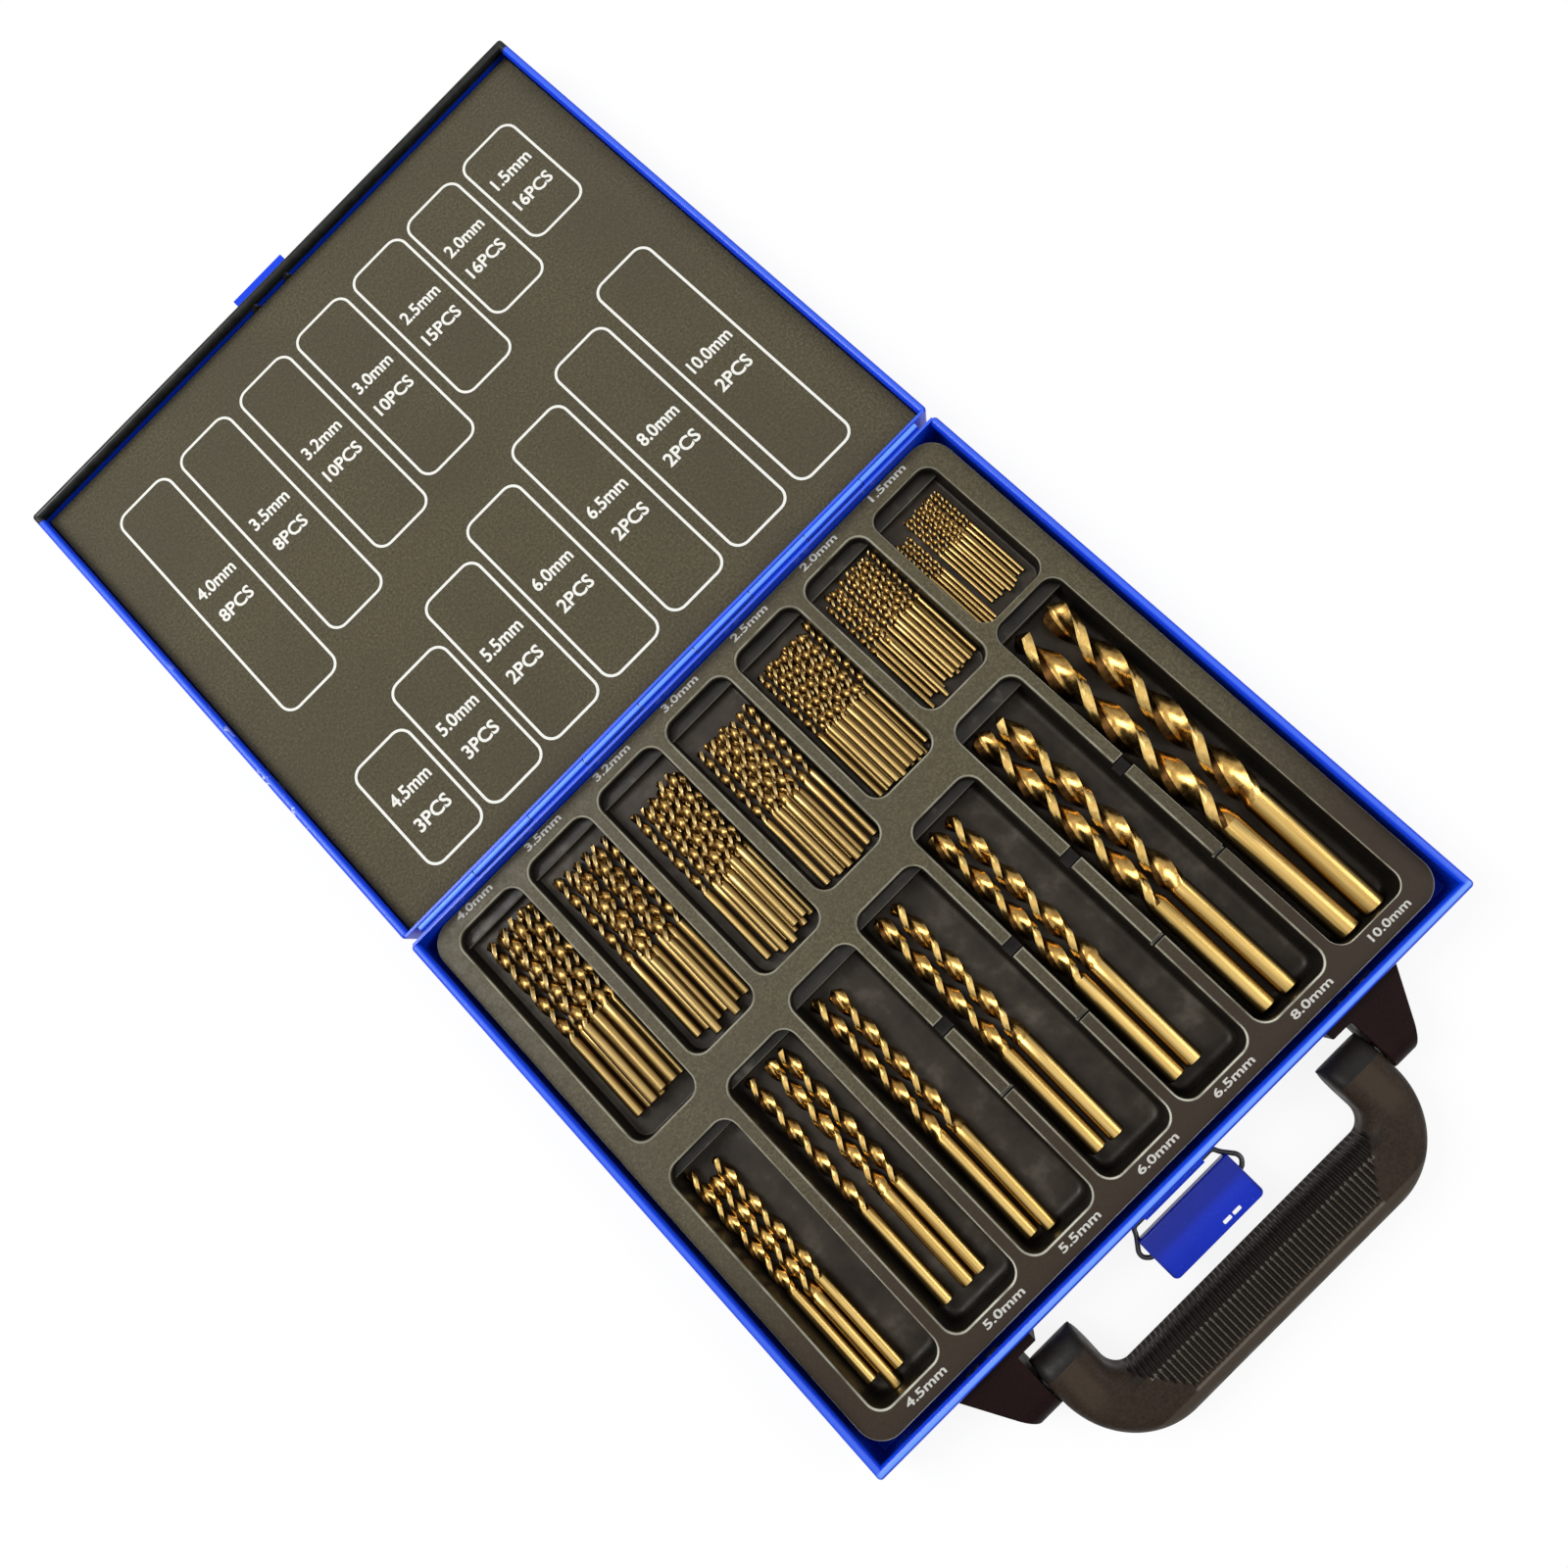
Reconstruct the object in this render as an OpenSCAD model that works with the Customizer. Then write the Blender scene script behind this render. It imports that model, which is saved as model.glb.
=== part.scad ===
// Drill bit case, lying open on a table: two shallow steel boxes on one long hinge,
// a moulded tray of 99 drill bits, a foam pad in the lid, a carrying handle and a toggle latch.
// Millimetres. X runs along the hinge, the handle points to -Y, Z is up,
// and the origin is the middle of the underside of the base box.

/* [Case] */
// Length of each box along the hinge
case_width = 240; // [200:300]
// Depth of each box, front wall to hinge wall
case_depth = 212.5; // [180:260]
// Height of each box, half of the closed case
shell_height = 20; // [16:40]
// Thickness of the steel sheet
sheet = 0.9; // [0.6:0.1:1.5]
// Radius of the rolled rim, of the upright corners and of the bottom edges
rim_r = 1.5; // [1:0.1:2.5]

/* [Hinge] */
// Distance of the hinge axis from the rear wall
axis_out = 1.55; // [1.4:0.05:2.5]
// Height of the hinge axis
axis_z = 20.2; // [16.2:0.1:40.2]
// Outer radius of the rolled knuckles
knuckle_r = 1.25; // [1:0.05:2]
// Radius of the hinge pin
pin_r = 0.7; // [0.5:0.05:1.2]
// Number of knuckles, the odd ones on the base
knuckles = 9; // [5:2:15]
// Length of the whole hinge
hinge_length = 226; // [150:236]

/* [Tray] */
// Height of the tray's top face
tray_top = 15; // [12:18]
// Thickness of the formed plastic sheet
tray_wall = 1; // [0.8:0.1:1.5]
// Corner radius of the pockets, seen from above
pocket_r = 5; // [2:8]
// Floor height inside the pockets for the large bits
large_floor = 2.5; // [2.2:0.1:5]
// Floor height inside the pockets for the small bits
small_floor = 7.2; // [3:0.1:9]

/* [Lid pad] */
// Distance of the pad's face below the lid's rim
pad_drop = 5.45; // [3:0.05:10]

/* [Handle] */
// Distance between the outer sides of the two arms
handle_width = 134.4; // [100:160]
// Width of each arm along the hinge direction
arm_width = 16.2; // [12:20]
// Thickness of the handle, up and down
handle_thick = 15; // [12:18]
// Distance of the handle's pivots from the front wall
pivot_out = 14.75; // [12:20]
// Distance from the pivots to the outer side of the grip
handle_reach = 31.6; // [28:45]
// Width of the grip, seen from above
grip_width = 20.4; // [16:24]

/* [Latch] */
// Middle of the latch along the hinge direction
latch_x = -2; // [-20:20]
// Width of the lever plate
lever_width = 36; // [25:45]
// Distance from the wire's base pivot to the lever's pivot
bail_length = 9.3; // [8:0.1:12]
// Radius of the wire
wire_r = 0.8; // [0.6:0.05:1.2]

/* [Hidden] */
$fn = 48;
half_w = case_width / 2;
half_d = case_depth / 2;
axis_y = half_d + axis_out;
mid_z = shell_height / 2;
pivot_y = -half_d - pivot_out;
slip = 0.05; // running clearance of a pin in its hole
play = 0.3; // gap between neighbours that move past each other

steel_blue = [0.05, 0.15, 0.75];
dark_plastic = [0.16, 0.16, 0.15];
gold = [0.75, 0.6, 0.3];

// ---- boxes ----

// A box with round upright corners and round bottom edges, open or not.
module tub(w, d, h, r) {
    x = w / 2 - r;
    y = d / 2 - r;
    translate([-x, -y, 0]) cube([2 * x, 2 * y, h]);
    translate([-w / 2, -y, r]) cube([w, 2 * y, h - r]);
    translate([-x, -d / 2, r]) cube([2 * x, d, h - r]);
    for (sx = [-1, 1]) {
        for (sy = [-1, 1]) {
            translate([sx * x, sy * y, r]) cylinder(r = r, h = h - r);
            translate([sx * x, sy * y, r]) sphere(r = r);
        }
        translate([sx * x, 0, r]) rotate([90, 0, 0]) cylinder(r = r, h = 2 * y, center = true);
    }
    for (sy = [-1, 1]) {
        translate([0, sy * y, r]) rotate([0, 90, 0]) cylinder(r = r, h = 2 * x, center = true);
    }
}

// The rolled rim: round bars along the front and side walls with round corners;
// the wall at the hinge has a plain edge.
module rim() {
    x = half_w - rim_r;
    y = half_d - rim_r;
    translate([0, 0, shell_height - rim_r]) {
        translate([0, -y, 0]) rotate([0, 90, 0]) cylinder(r = rim_r, h = 2 * x, center = true);
        for (s = [-1, 1]) {
            translate([s * x, 0, 0]) rotate([90, 0, 0]) cylinder(r = rim_r, h = 2 * y, center = true);
            for (t = [-1, 1]) {
                translate([s * x, t * y, 0]) sphere(r = rim_r);
            }
        }
        translate([-x, half_d - sheet, 0]) cube([2 * x, sheet, rim_r]);
    }
}

// One pressed steel half of the case, open upward.
module steel_half() {
    difference() {
        tub(case_width, case_depth, shell_height - rim_r, rim_r);
        translate([0, 0, sheet])
            tub(case_width - 2 * sheet, case_depth - 2 * sheet, shell_height, rim_r - sheet);
    }
    rim();
}

// Where things on the closed lid go when the lid lies open.
module open_lid() {
    translate([0, axis_y, axis_z]) rotate([180, 0, 0]) translate([0, -axis_y, -axis_z]) children();
}

// ---- hinge ----

knuckle_gap = 0.3;
knuckle_len = (hinge_length - (knuckles - 1) * knuckle_gap) / knuckles;
leaf_thick = 0.6;
leaf_low = 12;
leaf_cut = axis_z - knuckle_r - 0.45;

function knuckle_x(i) = -hinge_length / 2 + i * (knuckle_len + knuckle_gap);

// A hinge leaf on a rear wall that faces +Y; first is the number of its first knuckle.
module leaf(first) {
    difference() {
        union() {
            translate([-hinge_length / 2, half_d, leaf_low])
                cube([hinge_length, leaf_thick, leaf_cut - leaf_low]);
            for (i = [first : 2 : knuckles - 1]) {
                translate([knuckle_x(i), half_d, leaf_cut - 1])
                    cube([knuckle_len, leaf_thick, axis_z - leaf_cut + 1]);
                translate([knuckle_x(i), axis_y, axis_z])
                    rotate([0, 90, 0]) cylinder(r = knuckle_r, h = knuckle_len);
            }
        }
        translate([-half_w, axis_y, axis_z])
            rotate([0, 90, 0]) cylinder(r = pin_r + slip, h = case_width);
    }
}

// ---- tray ----

tray_half_w = 116.5;
tray_front = -102;
tray_back = 105.1;
tray_corner = 9;
tray_base = sheet + slip;

// A rectangle with round corners from its low and high corners.
module rounded(x0, y0, x1, y1, r) {
    translate([x0 + r, y0]) square([x1 - x0 - 2 * r, y1 - y0]);
    translate([x0, y0 + r]) square([x1 - x0, y1 - y0 - 2 * r]);
    for (x = [x0 + r, x1 - r]) {
        for (y = [y0 + r, y1 - r]) translate([x, y]) circle(r = r);
    }
}

// Pockets: size of bit, x range, y range. The large ones stand along the front wall,
// the small ones along the hinge.
large_front = -94.5;
small_back = 98.7;
large_pockets = [
    [10, 81, 108.4, 44.3],
    [8, 49.8, 76.8, 31.7],
    [6.5, 18, 45.1, 19.2],
    [6, -14, 13.5, 11.8],
    [5.5, -45.4, -18.5, 9.8],
    [5, -77.6, -50.2, 4.7],
    [4.5, -109, -82.3, -1.8],
];
small_pockets = [
    [1.5, 81, 108.4, 46.4],
    [2, 49.8, 76.8, 39.5],
    [2.5, 18, 45.1, 32],
    [3, -14, 13.5, 23.5],
    [3.2, -45.4, -18.5, 18.4],
    [3.5, -77.6, -50.2, 15.8],
    [4, -109, -82.3, 9.2],
];

// Ledge lengths at the tip end of each pocket, kept short of the bits' points.
large_ledges = [4.3, 5, 3.4, 3.4, 4.6, 2.7, 3];
small_ledge = 4.2;
large_ledge_z = 10;
small_ledge_z = 10.2;

// Finger notches across the ridges: x range and y of the wide and the narrow notch.
notches = [
    [76.8, 81, -13, -50.8],
    [45.1, 49.8, -21.3, -56],
    [13.5, 18, -27.6, -56],
    [-18.5, -14, -29.9, -56],
];
notch_wide = 4.5;
notch_narrow = 1.4;
notch_z = 9;
narrow_z = 12;

module pocket_body(p, y0, y1, floor_z) {
    t = tray_wall;
    translate([0, 0, floor_z - t]) linear_extrude(tray_top - floor_z + t / 2)
        rounded(p[1] - t, y0 - t, p[2] + t, y1 + t, pocket_r + t);
}

module pocket_space(p, y0, y1, floor_z, ledge, ledge_z, ledge_at) {
    difference() {
        translate([0, 0, floor_z]) linear_extrude(shell_height)
            rounded(p[1], y0, p[2], y1, pocket_r);
        translate([p[1] - 1, ledge_at, 0]) cube([p[2] - p[1] + 2, ledge + 1, ledge_z]);
    }
}

module drill_tray() {
    color(dark_plastic) difference() {
        union() {
            difference() {
                translate([0, 0, tray_base]) linear_extrude(tray_top - tray_base)
                    rounded(-tray_half_w, tray_front, tray_half_w, tray_back, tray_corner);
                translate([0, 0, -1]) linear_extrude(tray_top - tray_wall + 1)
                    rounded(-tray_half_w + tray_wall, tray_front + tray_wall,
                            tray_half_w - tray_wall, tray_back - tray_wall, tray_corner - tray_wall);
            }
            for (p = large_pockets) pocket_body(p, large_front, p[3], large_floor);
            for (p = small_pockets) pocket_body(p, p[3], small_back, small_floor);
            for (n = notches) {
                translate([n[0], n[2] - notch_wide, notch_z - tray_wall])
                    cube([n[1] - n[0], 2 * notch_wide, tray_top - notch_z]);
                translate([n[0], n[3] - notch_wide / 2, narrow_z - tray_wall])
                    cube([n[1] - n[0], notch_wide, tray_top - narrow_z]);
            }
        }
        for (i = [0 : len(large_pockets) - 1]) {
            p = large_pockets[i];
            pocket_space(p, large_front, p[3], large_floor,
                         large_ledges[i], large_ledge_z, p[3] - large_ledges[i]);
        }
        for (p = small_pockets) {
            pocket_space(p, p[3], small_back, small_floor,
                         small_ledge, small_ledge_z, small_back - small_ledge);
        }
        for (n = notches) {
            translate([n[0] - 1, n[2] - notch_wide / 2, notch_z])
                cube([n[1] - n[0] + 2, notch_wide, shell_height]);
            translate([n[0] - 1, n[3] - notch_narrow / 2, narrow_z])
                cube([n[1] - n[0] + 2, notch_narrow, shell_height]);
        }
    }
}

// ---- drill bits ----

lead = 4.85; // advance of the helix in one turn, in diameters
land = 0.985; // radius of the fluted part against the bit's, so the shank's flat sides enclose it
point_start = 0.94; // size of the ground point where it leaves the fluted part
root = 0.05; // how far the point reaches into the fluted part

// Section of a two-flute bit of radius 1: plain for small bits, with hollow flutes for large ones.
thin_section = [[1, 0], [0, 0.46], [-1, 0], [0, -0.46]];
half_section = [[0.99, -0.12], [0.93, 0.36], [0.66, 0.7], [0.12, 0.3], [-0.5, 0.27]];
full_section = concat(half_section, [for (p = half_section) -p]);

// One bit lying along +Y from its shank end at the origin, tip to the front.
module bit(d, length, flute, shank, turn, section, step) {
    r = land * d / 2;
    point = 0.3 * d;
    twist = 360 * (flute - point) / (lead * d);
    rotate([-90, 0, 0]) rotate([0, 0, turn]) {
        cylinder(r = shank / 2, h = length - flute + 0.6 * d, $fn = 24);
        translate([0, 0, length - flute])
            linear_extrude(height = flute - point, twist = -twist,
                           slices = round(twist / step), $fn = len(section))
                polygon(section * r);
        translate([0, 0, length - point - root]) rotate([0, 0, twist])
            linear_extrude(height = point + root, scale = 0.12, $fn = len(section))
                polygon(section * r * point_start);
    }
}

// A number from 0 to 1 that looks random but is always the same.
function spread(i) = let (v = sin(i * 47.3 + 11) * 43.758) v - floor(v);

// Small bits: diameter, length, flute length, and rows. Each row gives
// how many bits, the x of the first, the pitch towards -X, the layer and the gap at the shank end.
small_bits = [
    [1.5, 40, 17, [[5, 104.6, 1.75, 0, 5.2], [4, 95.85, 1.75, 0, 4.8], [3, 100.225, 1.75, 1, 3.6],
                   [4, 87.6, 1.62, 0, 0.3]]],
    [2, 49, 24, [[10, 75.4, 2.25, 0, 4], [1, 52.9, 2.25, 0, 1.2], [1, 58.525, 2.25, 1, 0.4],
                 [4, 72.025, 2.25, 1, 4.2]]],
    [2.5, 57, 30, [[9, 43.6, 2.8, 0, 0.4], [6, 39.4, 2.8, 1, 0.4]]],
    [3, 61, 33, [[7, 11.2, 3.6, 0, 1.6], [3, 2.2, 3.6, 1, 0.8]]],
    [3.2, 65, 36, [[6, -20.6, 3.9, 0, 3.4], [2, -30.35, 3.9, 1, 0.6], [2, -22.55, 3.9, 1, 4.4]]],
    [3.5, 70, 39, [[6, -52.4, 4.1, 0, 4], [1, -58.55, 4.1, 1, 0.3], [1, -66.75, 4.1, 1, 0.3]]],
    [4, 75, 43, [[5, -84.8, 4.6, 0, 6.4], [3, -87.1, 4.6, 1, 6.8]]],
];

// How far a bit at x, of diameter d, keeps from the front of a pocket to clear its round corners.
function corner_room(x, d, p) =
    let (e = pocket_r + d / 2 - min(p[2] - x, x - p[1]))
    e <= 0 ? 0 : pocket_r - sqrt(pow(pocket_r, 2) - pow(e, 2)) + 0.15;

module small_group(g) {
    b = small_bits[g];
    d = b[0];
    p = small_pockets[g];
    color(gold) for (row = b[3]) {
        rise = sqrt(pow(d + 0.06, 2) - pow(row[2] / 2, 2));
        for (i = [0 : row[0] - 1]) {
            x = row[1] - i * row[2];
            translate([x,
                       p[3] + max(row[4] + 1.6 * spread(i + 7 * row[0] + g), corner_room(x, d, p)),
                       small_floor + 0.04 + d / 2 + row[3] * rise])
                bit(d, b[1], b[2], d, 360 * spread(3 * i + g), thin_section, 58);
        }
    }
}

// Large bits: diameter, shank, length, flute length, and for each bit
// the shank end's x and y and the tip's x.
large_bits = [
    [10, 8.4, 133, 87, [[98.7, -94, 101], [88.5, -93.7, 87.4]]],
    [8, 6.8, 119, 76, [[64.4, -93.2, 64.3], [55.9, -92.6, 56]]],
    [6.5, 6.4, 103.5, 64, [[29.6, -88.9, 30.7], [22.6, -88.5, 23.4]]],
    [6, 5.9, 95.5, 57, [[-2.3, -88, -1], [-9.1, -87.4, -8]]],
    [5.5, 5.4, 95.2, 57, [[-35.5, -93, -33.7], [-41.3, -90.9, -40.2]]],
    [5, 4.9, 89.2, 54, [[-59.7, -87.8, -58.4], [-65, -87.9, -63.8], [-73.4, -87.5, -72.4]]],
    [4.5, 4.4, 82.4, 48.5, [[-96.9, -90.4, -97], [-101.6, -94.1, -101.5], [-106.3, -87.9, -106.2]]],
];

module large_group(g) {
    b = large_bits[g];
    color(gold) for (i = [0 : len(b[4]) - 1]) {
        q = b[4][i];
        translate([q[0], q[1], large_floor + 0.04 + b[0] / 2])
            rotate([0, 0, -asin((q[2] - q[0]) / b[2])])
                bit(b[0], b[2], b[3], b[1], 70 + 110 * i + 25 * g, full_section, 36);
    }
}

// ---- handle ----

grip_out = pivot_y - handle_reach;
grip_in = grip_out + grip_width;
grip_corner = 26.5;
inner_corner = 5.5;
arm_x = handle_width / 2;
arm_end_r = handle_thick / 2;
handle_pin_r = 3;

// A bar section with rounded sides.
module bar_section(w, h, r) {
    rounded(-w / 2, -h / 2, w / 2, h / 2, r);
}

// The handle's outline from above: round outer corners, square arms.
module handle_outline() {
    difference() {
        union() {
            translate([-arm_x, grip_out + grip_corner])
                square([2 * arm_x, pivot_y + arm_end_r + 1 - grip_out - grip_corner]);
            translate([-arm_x + grip_corner, grip_out])
                square([2 * (arm_x - grip_corner), pivot_y - grip_out]);
            for (s = [-1, 1]) {
                translate([s * (arm_x - grip_corner), grip_out + grip_corner]) circle(r = grip_corner);
            }
        }
        rounded(-arm_x + arm_width, grip_in, arm_x - arm_width, pivot_y + 3 * inner_corner, inner_corner);
    }
}

module handle() {
    color(dark_plastic) difference() {
        translate([0, 0, mid_z]) intersection() {
            translate([0, 0, -handle_thick / 2]) linear_extrude(handle_thick) handle_outline();
            // The grip and the arms, each with its own rounding.
            union() {
                translate([0, (grip_out + grip_in) / 2, 0]) rotate([90, 0, 90])
                    linear_extrude(2 * arm_x + 2, center = true)
                        bar_section(grip_width, handle_thick, 5.5);
                for (s = [-1, 1]) {
                    translate([s * (arm_x - arm_width / 2), grip_out, 0]) rotate([-90, 0, 0])
                        linear_extrude(2 * handle_reach)
                            bar_section(arm_width, handle_thick, 3.5);
                }
            }
            // Seen from the side, the arms end in half circles about the pivots.
            union() {
                translate([-case_width / 2, grip_out - 1, -handle_thick])
                    cube([case_width, handle_reach + 1, 2 * handle_thick]);
                translate([0, pivot_y, 0])
                    rotate([0, 90, 0]) cylinder(r = arm_end_r, h = case_width, center = true);
            }
        }
        for (s = [-1, 1]) {
            translate([s * (arm_x - arm_width / 2), pivot_y, mid_z])
                rotate([0, 90, 0]) cylinder(r = handle_pin_r + slip, h = arm_width + 1, center = true);
        }
    }
}

bracket_in = arm_x + 0.4;
bracket_wide = 21.6;
bracket_tip = 8.4;
bracket_end_r = 6.5;
flange_out = 7.2;
flange_deep = 3.2;

// The wedge that carries one end of the handle; the other is its mirror image.
module bracket_shape() {
    wall = -half_d;
    low = mid_z - bracket_end_r;
    difference() {
        union() {
            intersection() {
                translate([0, 0, low]) linear_extrude(2 * bracket_end_r)
                    polygon([[bracket_in, wall], [bracket_in + bracket_wide, wall],
                             [bracket_in + bracket_tip, pivot_y - bracket_end_r],
                             [bracket_in, pivot_y - bracket_end_r]]);
                union() {
                    translate([0, pivot_y, low]) cube([case_width, -pivot_y, 2 * bracket_end_r]);
                    translate([0, pivot_y, mid_z])
                        rotate([0, 90, 0]) cylinder(r = bracket_end_r, h = case_width);
                }
            }
            translate([bracket_in - flange_out, wall - flange_deep, low])
                cube([flange_out + 1.4, flange_deep, 2 * bracket_end_r]);
        }
        translate([bracket_in - 1, pivot_y, mid_z])
            rotate([0, 90, 0]) cylinder(r = handle_pin_r + slip, h = 6.5);
        for (x = screw_xs) translate([x, wall + 1, mid_z]) rotate([90, 0, 0])
            cylinder(r = screw_r + slip, h = 8.2);
    }
}

screw_xs = [72.6, 81];
screw_r = 1.6;

module handle_bracket_right() {
    color(dark_plastic) bracket_shape();
}

module handle_bracket_left() {
    color(dark_plastic) mirror([1, 0, 0]) bracket_shape();
}

module handle_pins() {
    color("silver") for (s = [-1, 1]) {
        translate([s * (bracket_in + 5.4 - 10), pivot_y, mid_z])
            rotate([0, s * 90, 0]) translate([0, 0, -10]) cylinder(r = handle_pin_r, h = 20);
    }
}

module bracket_screws() {
    color("silver") for (s = [-1, 1]) {
        for (x = screw_xs) {
            translate([s * x, -half_d + sheet, mid_z]) rotate([90, 0, 0]) {
                cylinder(r = screw_r, h = 8);
                translate([0, 0, -0.8]) cylinder(r = 2.8, h = 0.8);
            }
        }
    }
}

// ---- latch ----

bail_y = -half_d - 1.95;
lever_y = bail_y - bail_length;
plate_thick = 0.8;
ear_x = lever_width / 2;
leg_x = ear_x + play + wire_r;
barrel_r = wire_r + 0.5;
barrel_half = 12;
rivet_r = 1.2;
rivet_x = 8;
rivet_up = 4.2;

// A riveted strip on a front wall that faces -Y.
module riveted_strip(z0, z1, rivet_z) {
    difference() {
        translate([latch_x - barrel_half, -half_d - plate_thick, z0])
            cube([2 * barrel_half, plate_thick, z1 - z0]);
        for (s = [-1, 1]) {
            translate([latch_x + s * rivet_x, -half_d + 1, rivet_z])
                rotate([90, 0, 0]) cylinder(r = rivet_r + slip, h = 3);
        }
    }
}

module wall_rivets(z) {
    for (s = [-1, 1]) {
        translate([latch_x + s * rivet_x, -half_d, z]) rotate([90, 0, 0]) {
            translate([0, 0, -sheet]) cylinder(r = rivet_r, h = sheet + plate_thick);
            translate([0, 0, plate_thick]) cylinder(r1 = 2, r2 = 1.4, h = 0.5);
            translate([0, 0, -sheet - 0.7]) cylinder(r = 2, h = 0.7);
        }
    }
}

module rivet_holes(z) {
    for (s = [-1, 1]) {
        translate([latch_x + s * rivet_x, -half_d + 3, z])
            rotate([90, 0, 0]) cylinder(r = rivet_r + slip, h = 6);
    }
}

module latch_bracket() {
    color(steel_blue) difference() {
        union() {
            riveted_strip(mid_z - barrel_r, mid_z + rivet_up + 2.6, mid_z + rivet_up);
            translate([latch_x - barrel_half, bail_y, mid_z - barrel_r])
                cube([2 * barrel_half, -half_d - bail_y, barrel_r]);
            translate([latch_x, bail_y, mid_z])
                rotate([0, 90, 0]) cylinder(r = barrel_r, h = 2 * barrel_half, center = true);
        }
        translate([latch_x, bail_y, mid_z])
            rotate([0, 90, 0]) cylinder(r = wire_r + slip, h = 3 * barrel_half, center = true);
    }
}

module latch_rivets() {
    color("silver") wall_rivets(mid_z + rivet_up);
}

module latch_bail() {
    color([0.1, 0.1, 0.1]) translate([latch_x, 0, mid_z]) {
        translate([0, bail_y, 0]) rotate([0, 90, 0]) cylinder(r = wire_r, h = 2 * leg_x, center = true);
        for (s = [-1, 1]) {
            translate([s * leg_x, bail_y, 0]) rotate([90, 0, 0]) cylinder(r = wire_r, h = bail_length);
            translate([s * leg_x, bail_y, 0]) sphere(r = wire_r);
            translate([s * leg_x, lever_y, 0]) sphere(r = wire_r);
            translate([s * (leg_x - 1.7), lever_y, 0])
                rotate([0, 90, 0]) cylinder(r = wire_r, h = 3.4, center = true);
        }
    }
}

lever_tail = 8.6; // from the lever's pivot to the end of its tail
tail_end = -lever_tail - 0.5; // the side view runs on a little, and the outline from above cuts it
// Side view of the lever plate, from its pivot: a shallow crown, a hook towards the case
// and a straight tail, the upper side first and the lower side back.
lever_profile = [
    [6.1, -1.1], [6.1, 2.4], [5.3, 2.9], [1.5, 3.7], [-3.2, 3.7], [-6.4, 3.1], [tail_end, 2.3],
    [tail_end, 1.6], [-6.3, 2.3], [-3.1, 2.9], [1.4, 2.9], [5, 2.2], [5.4, 1.8], [5.4, -0.5],
    [4.2, -0.5], [4.2, -1.1],
];
lever_corner = 1.8;
ear_thick = 0.8;
ear_r = 1.8;
slot_xs = [3.3, 7.1];
slot_length = 3;
slot_wide = 1.2;

module latch_lever() {
    color(steel_blue) translate([latch_x, lever_y, mid_z]) difference() {
        union() {
            intersection() {
                rotate([90, 0, 90]) linear_extrude(lever_width + 1, center = true)
                    polygon(lever_profile);
                // Seen from above, the tail has round corners.
                translate([0, 0, -shell_height]) linear_extrude(2 * shell_height)
                    rounded(-ear_x, -lever_tail, ear_x, 6.1 + 2 * lever_corner, lever_corner);
            }
            for (s = [-1, 1]) {
                translate([s * (ear_x - ear_thick / 2), 0, 0]) rotate([90, 0, 90])
                    linear_extrude(ear_thick, center = true) {
                        circle(r = ear_r);
                        translate([-ear_r, 0]) square([2 * ear_r, 3.2]);
                    }
            }
        }
        rotate([0, 90, 0]) cylinder(r = wire_r + slip, h = 2 * lever_width, center = true);
        for (x = slot_xs) translate([x, -7, 0]) cube([slot_length, slot_wide, 5]);
    }
}

// The catch on the closed lid's front wall, with an upturned lip for the lever's hook.
catch_z = 21.6;

module lid_catch() {
    color(steel_blue) open_lid() {
        riveted_strip(catch_z, catch_z + 8.4, catch_z + 6);
        translate([latch_x - barrel_half, -half_d - 3.05, catch_z])
            cube([2 * barrel_half, 2.4, 0.7]);
        translate([latch_x - barrel_half, -half_d - 3.05, catch_z]) cube([2 * barrel_half, 0.7, 2]);
    }
}

module catch_rivets() {
    color("silver") open_lid() wall_rivets(catch_z + 6);
}

// ---- shells and pad ----

module base_shell() {
    color(steel_blue) difference() {
        steel_half();
        rivet_holes(mid_z + rivet_up);
        for (s = [-1, 1]) {
            for (x = screw_xs) translate([s * x, -half_d + 3, mid_z]) rotate([90, 0, 0])
                cylinder(r = screw_r + slip, h = 6);
        }
    }
}

module lid_shell() {
    color(steel_blue) difference() {
        translate([0, 2 * axis_y, 0]) mirror([0, 1, 0]) steel_half();
        open_lid() rivet_holes(catch_z + 6);
    }
}

pad_gap = 1; // room between the pad and the lid's walls, which the rivets' heads need

module lid_pad() {
    color([0.35, 0.33, 0.26]) translate([0, 2 * axis_y, sheet + slip])
        linear_extrude(shell_height - pad_drop - sheet - slip)
            rounded(-half_w + sheet + pad_gap, -half_d + sheet + pad_gap,
                    half_w - sheet - pad_gap, half_d - sheet - pad_gap, 2);
}

module hinge_leaf_base() {
    color(steel_blue) leaf(0);
}

module hinge_leaf_lid() {
    color(steel_blue) translate([0, 2 * axis_y, 0]) mirror([0, 1, 0]) leaf(1);
}

module hinge_pin() {
    color("silver") translate([0, axis_y, axis_z])
        rotate([0, 90, 0]) cylinder(r = pin_r, h = hinge_length, center = true);
}

module bits_1_5mm() { small_group(0); }
module bits_2_0mm() { small_group(1); }
module bits_2_5mm() { small_group(2); }
module bits_3_0mm() { small_group(3); }
module bits_3_2mm() { small_group(4); }
module bits_3_5mm() { small_group(5); }
module bits_4_0mm() { small_group(6); }
module bits_4_5mm() { large_group(6); }
module bits_5_0mm() { large_group(5); }
module bits_5_5mm() { large_group(4); }
module bits_6_0mm() { large_group(3); }
module bits_6_5mm() { large_group(2); }
module bits_8_0mm() { large_group(1); }
module bits_10_0mm() { large_group(0); }

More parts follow.
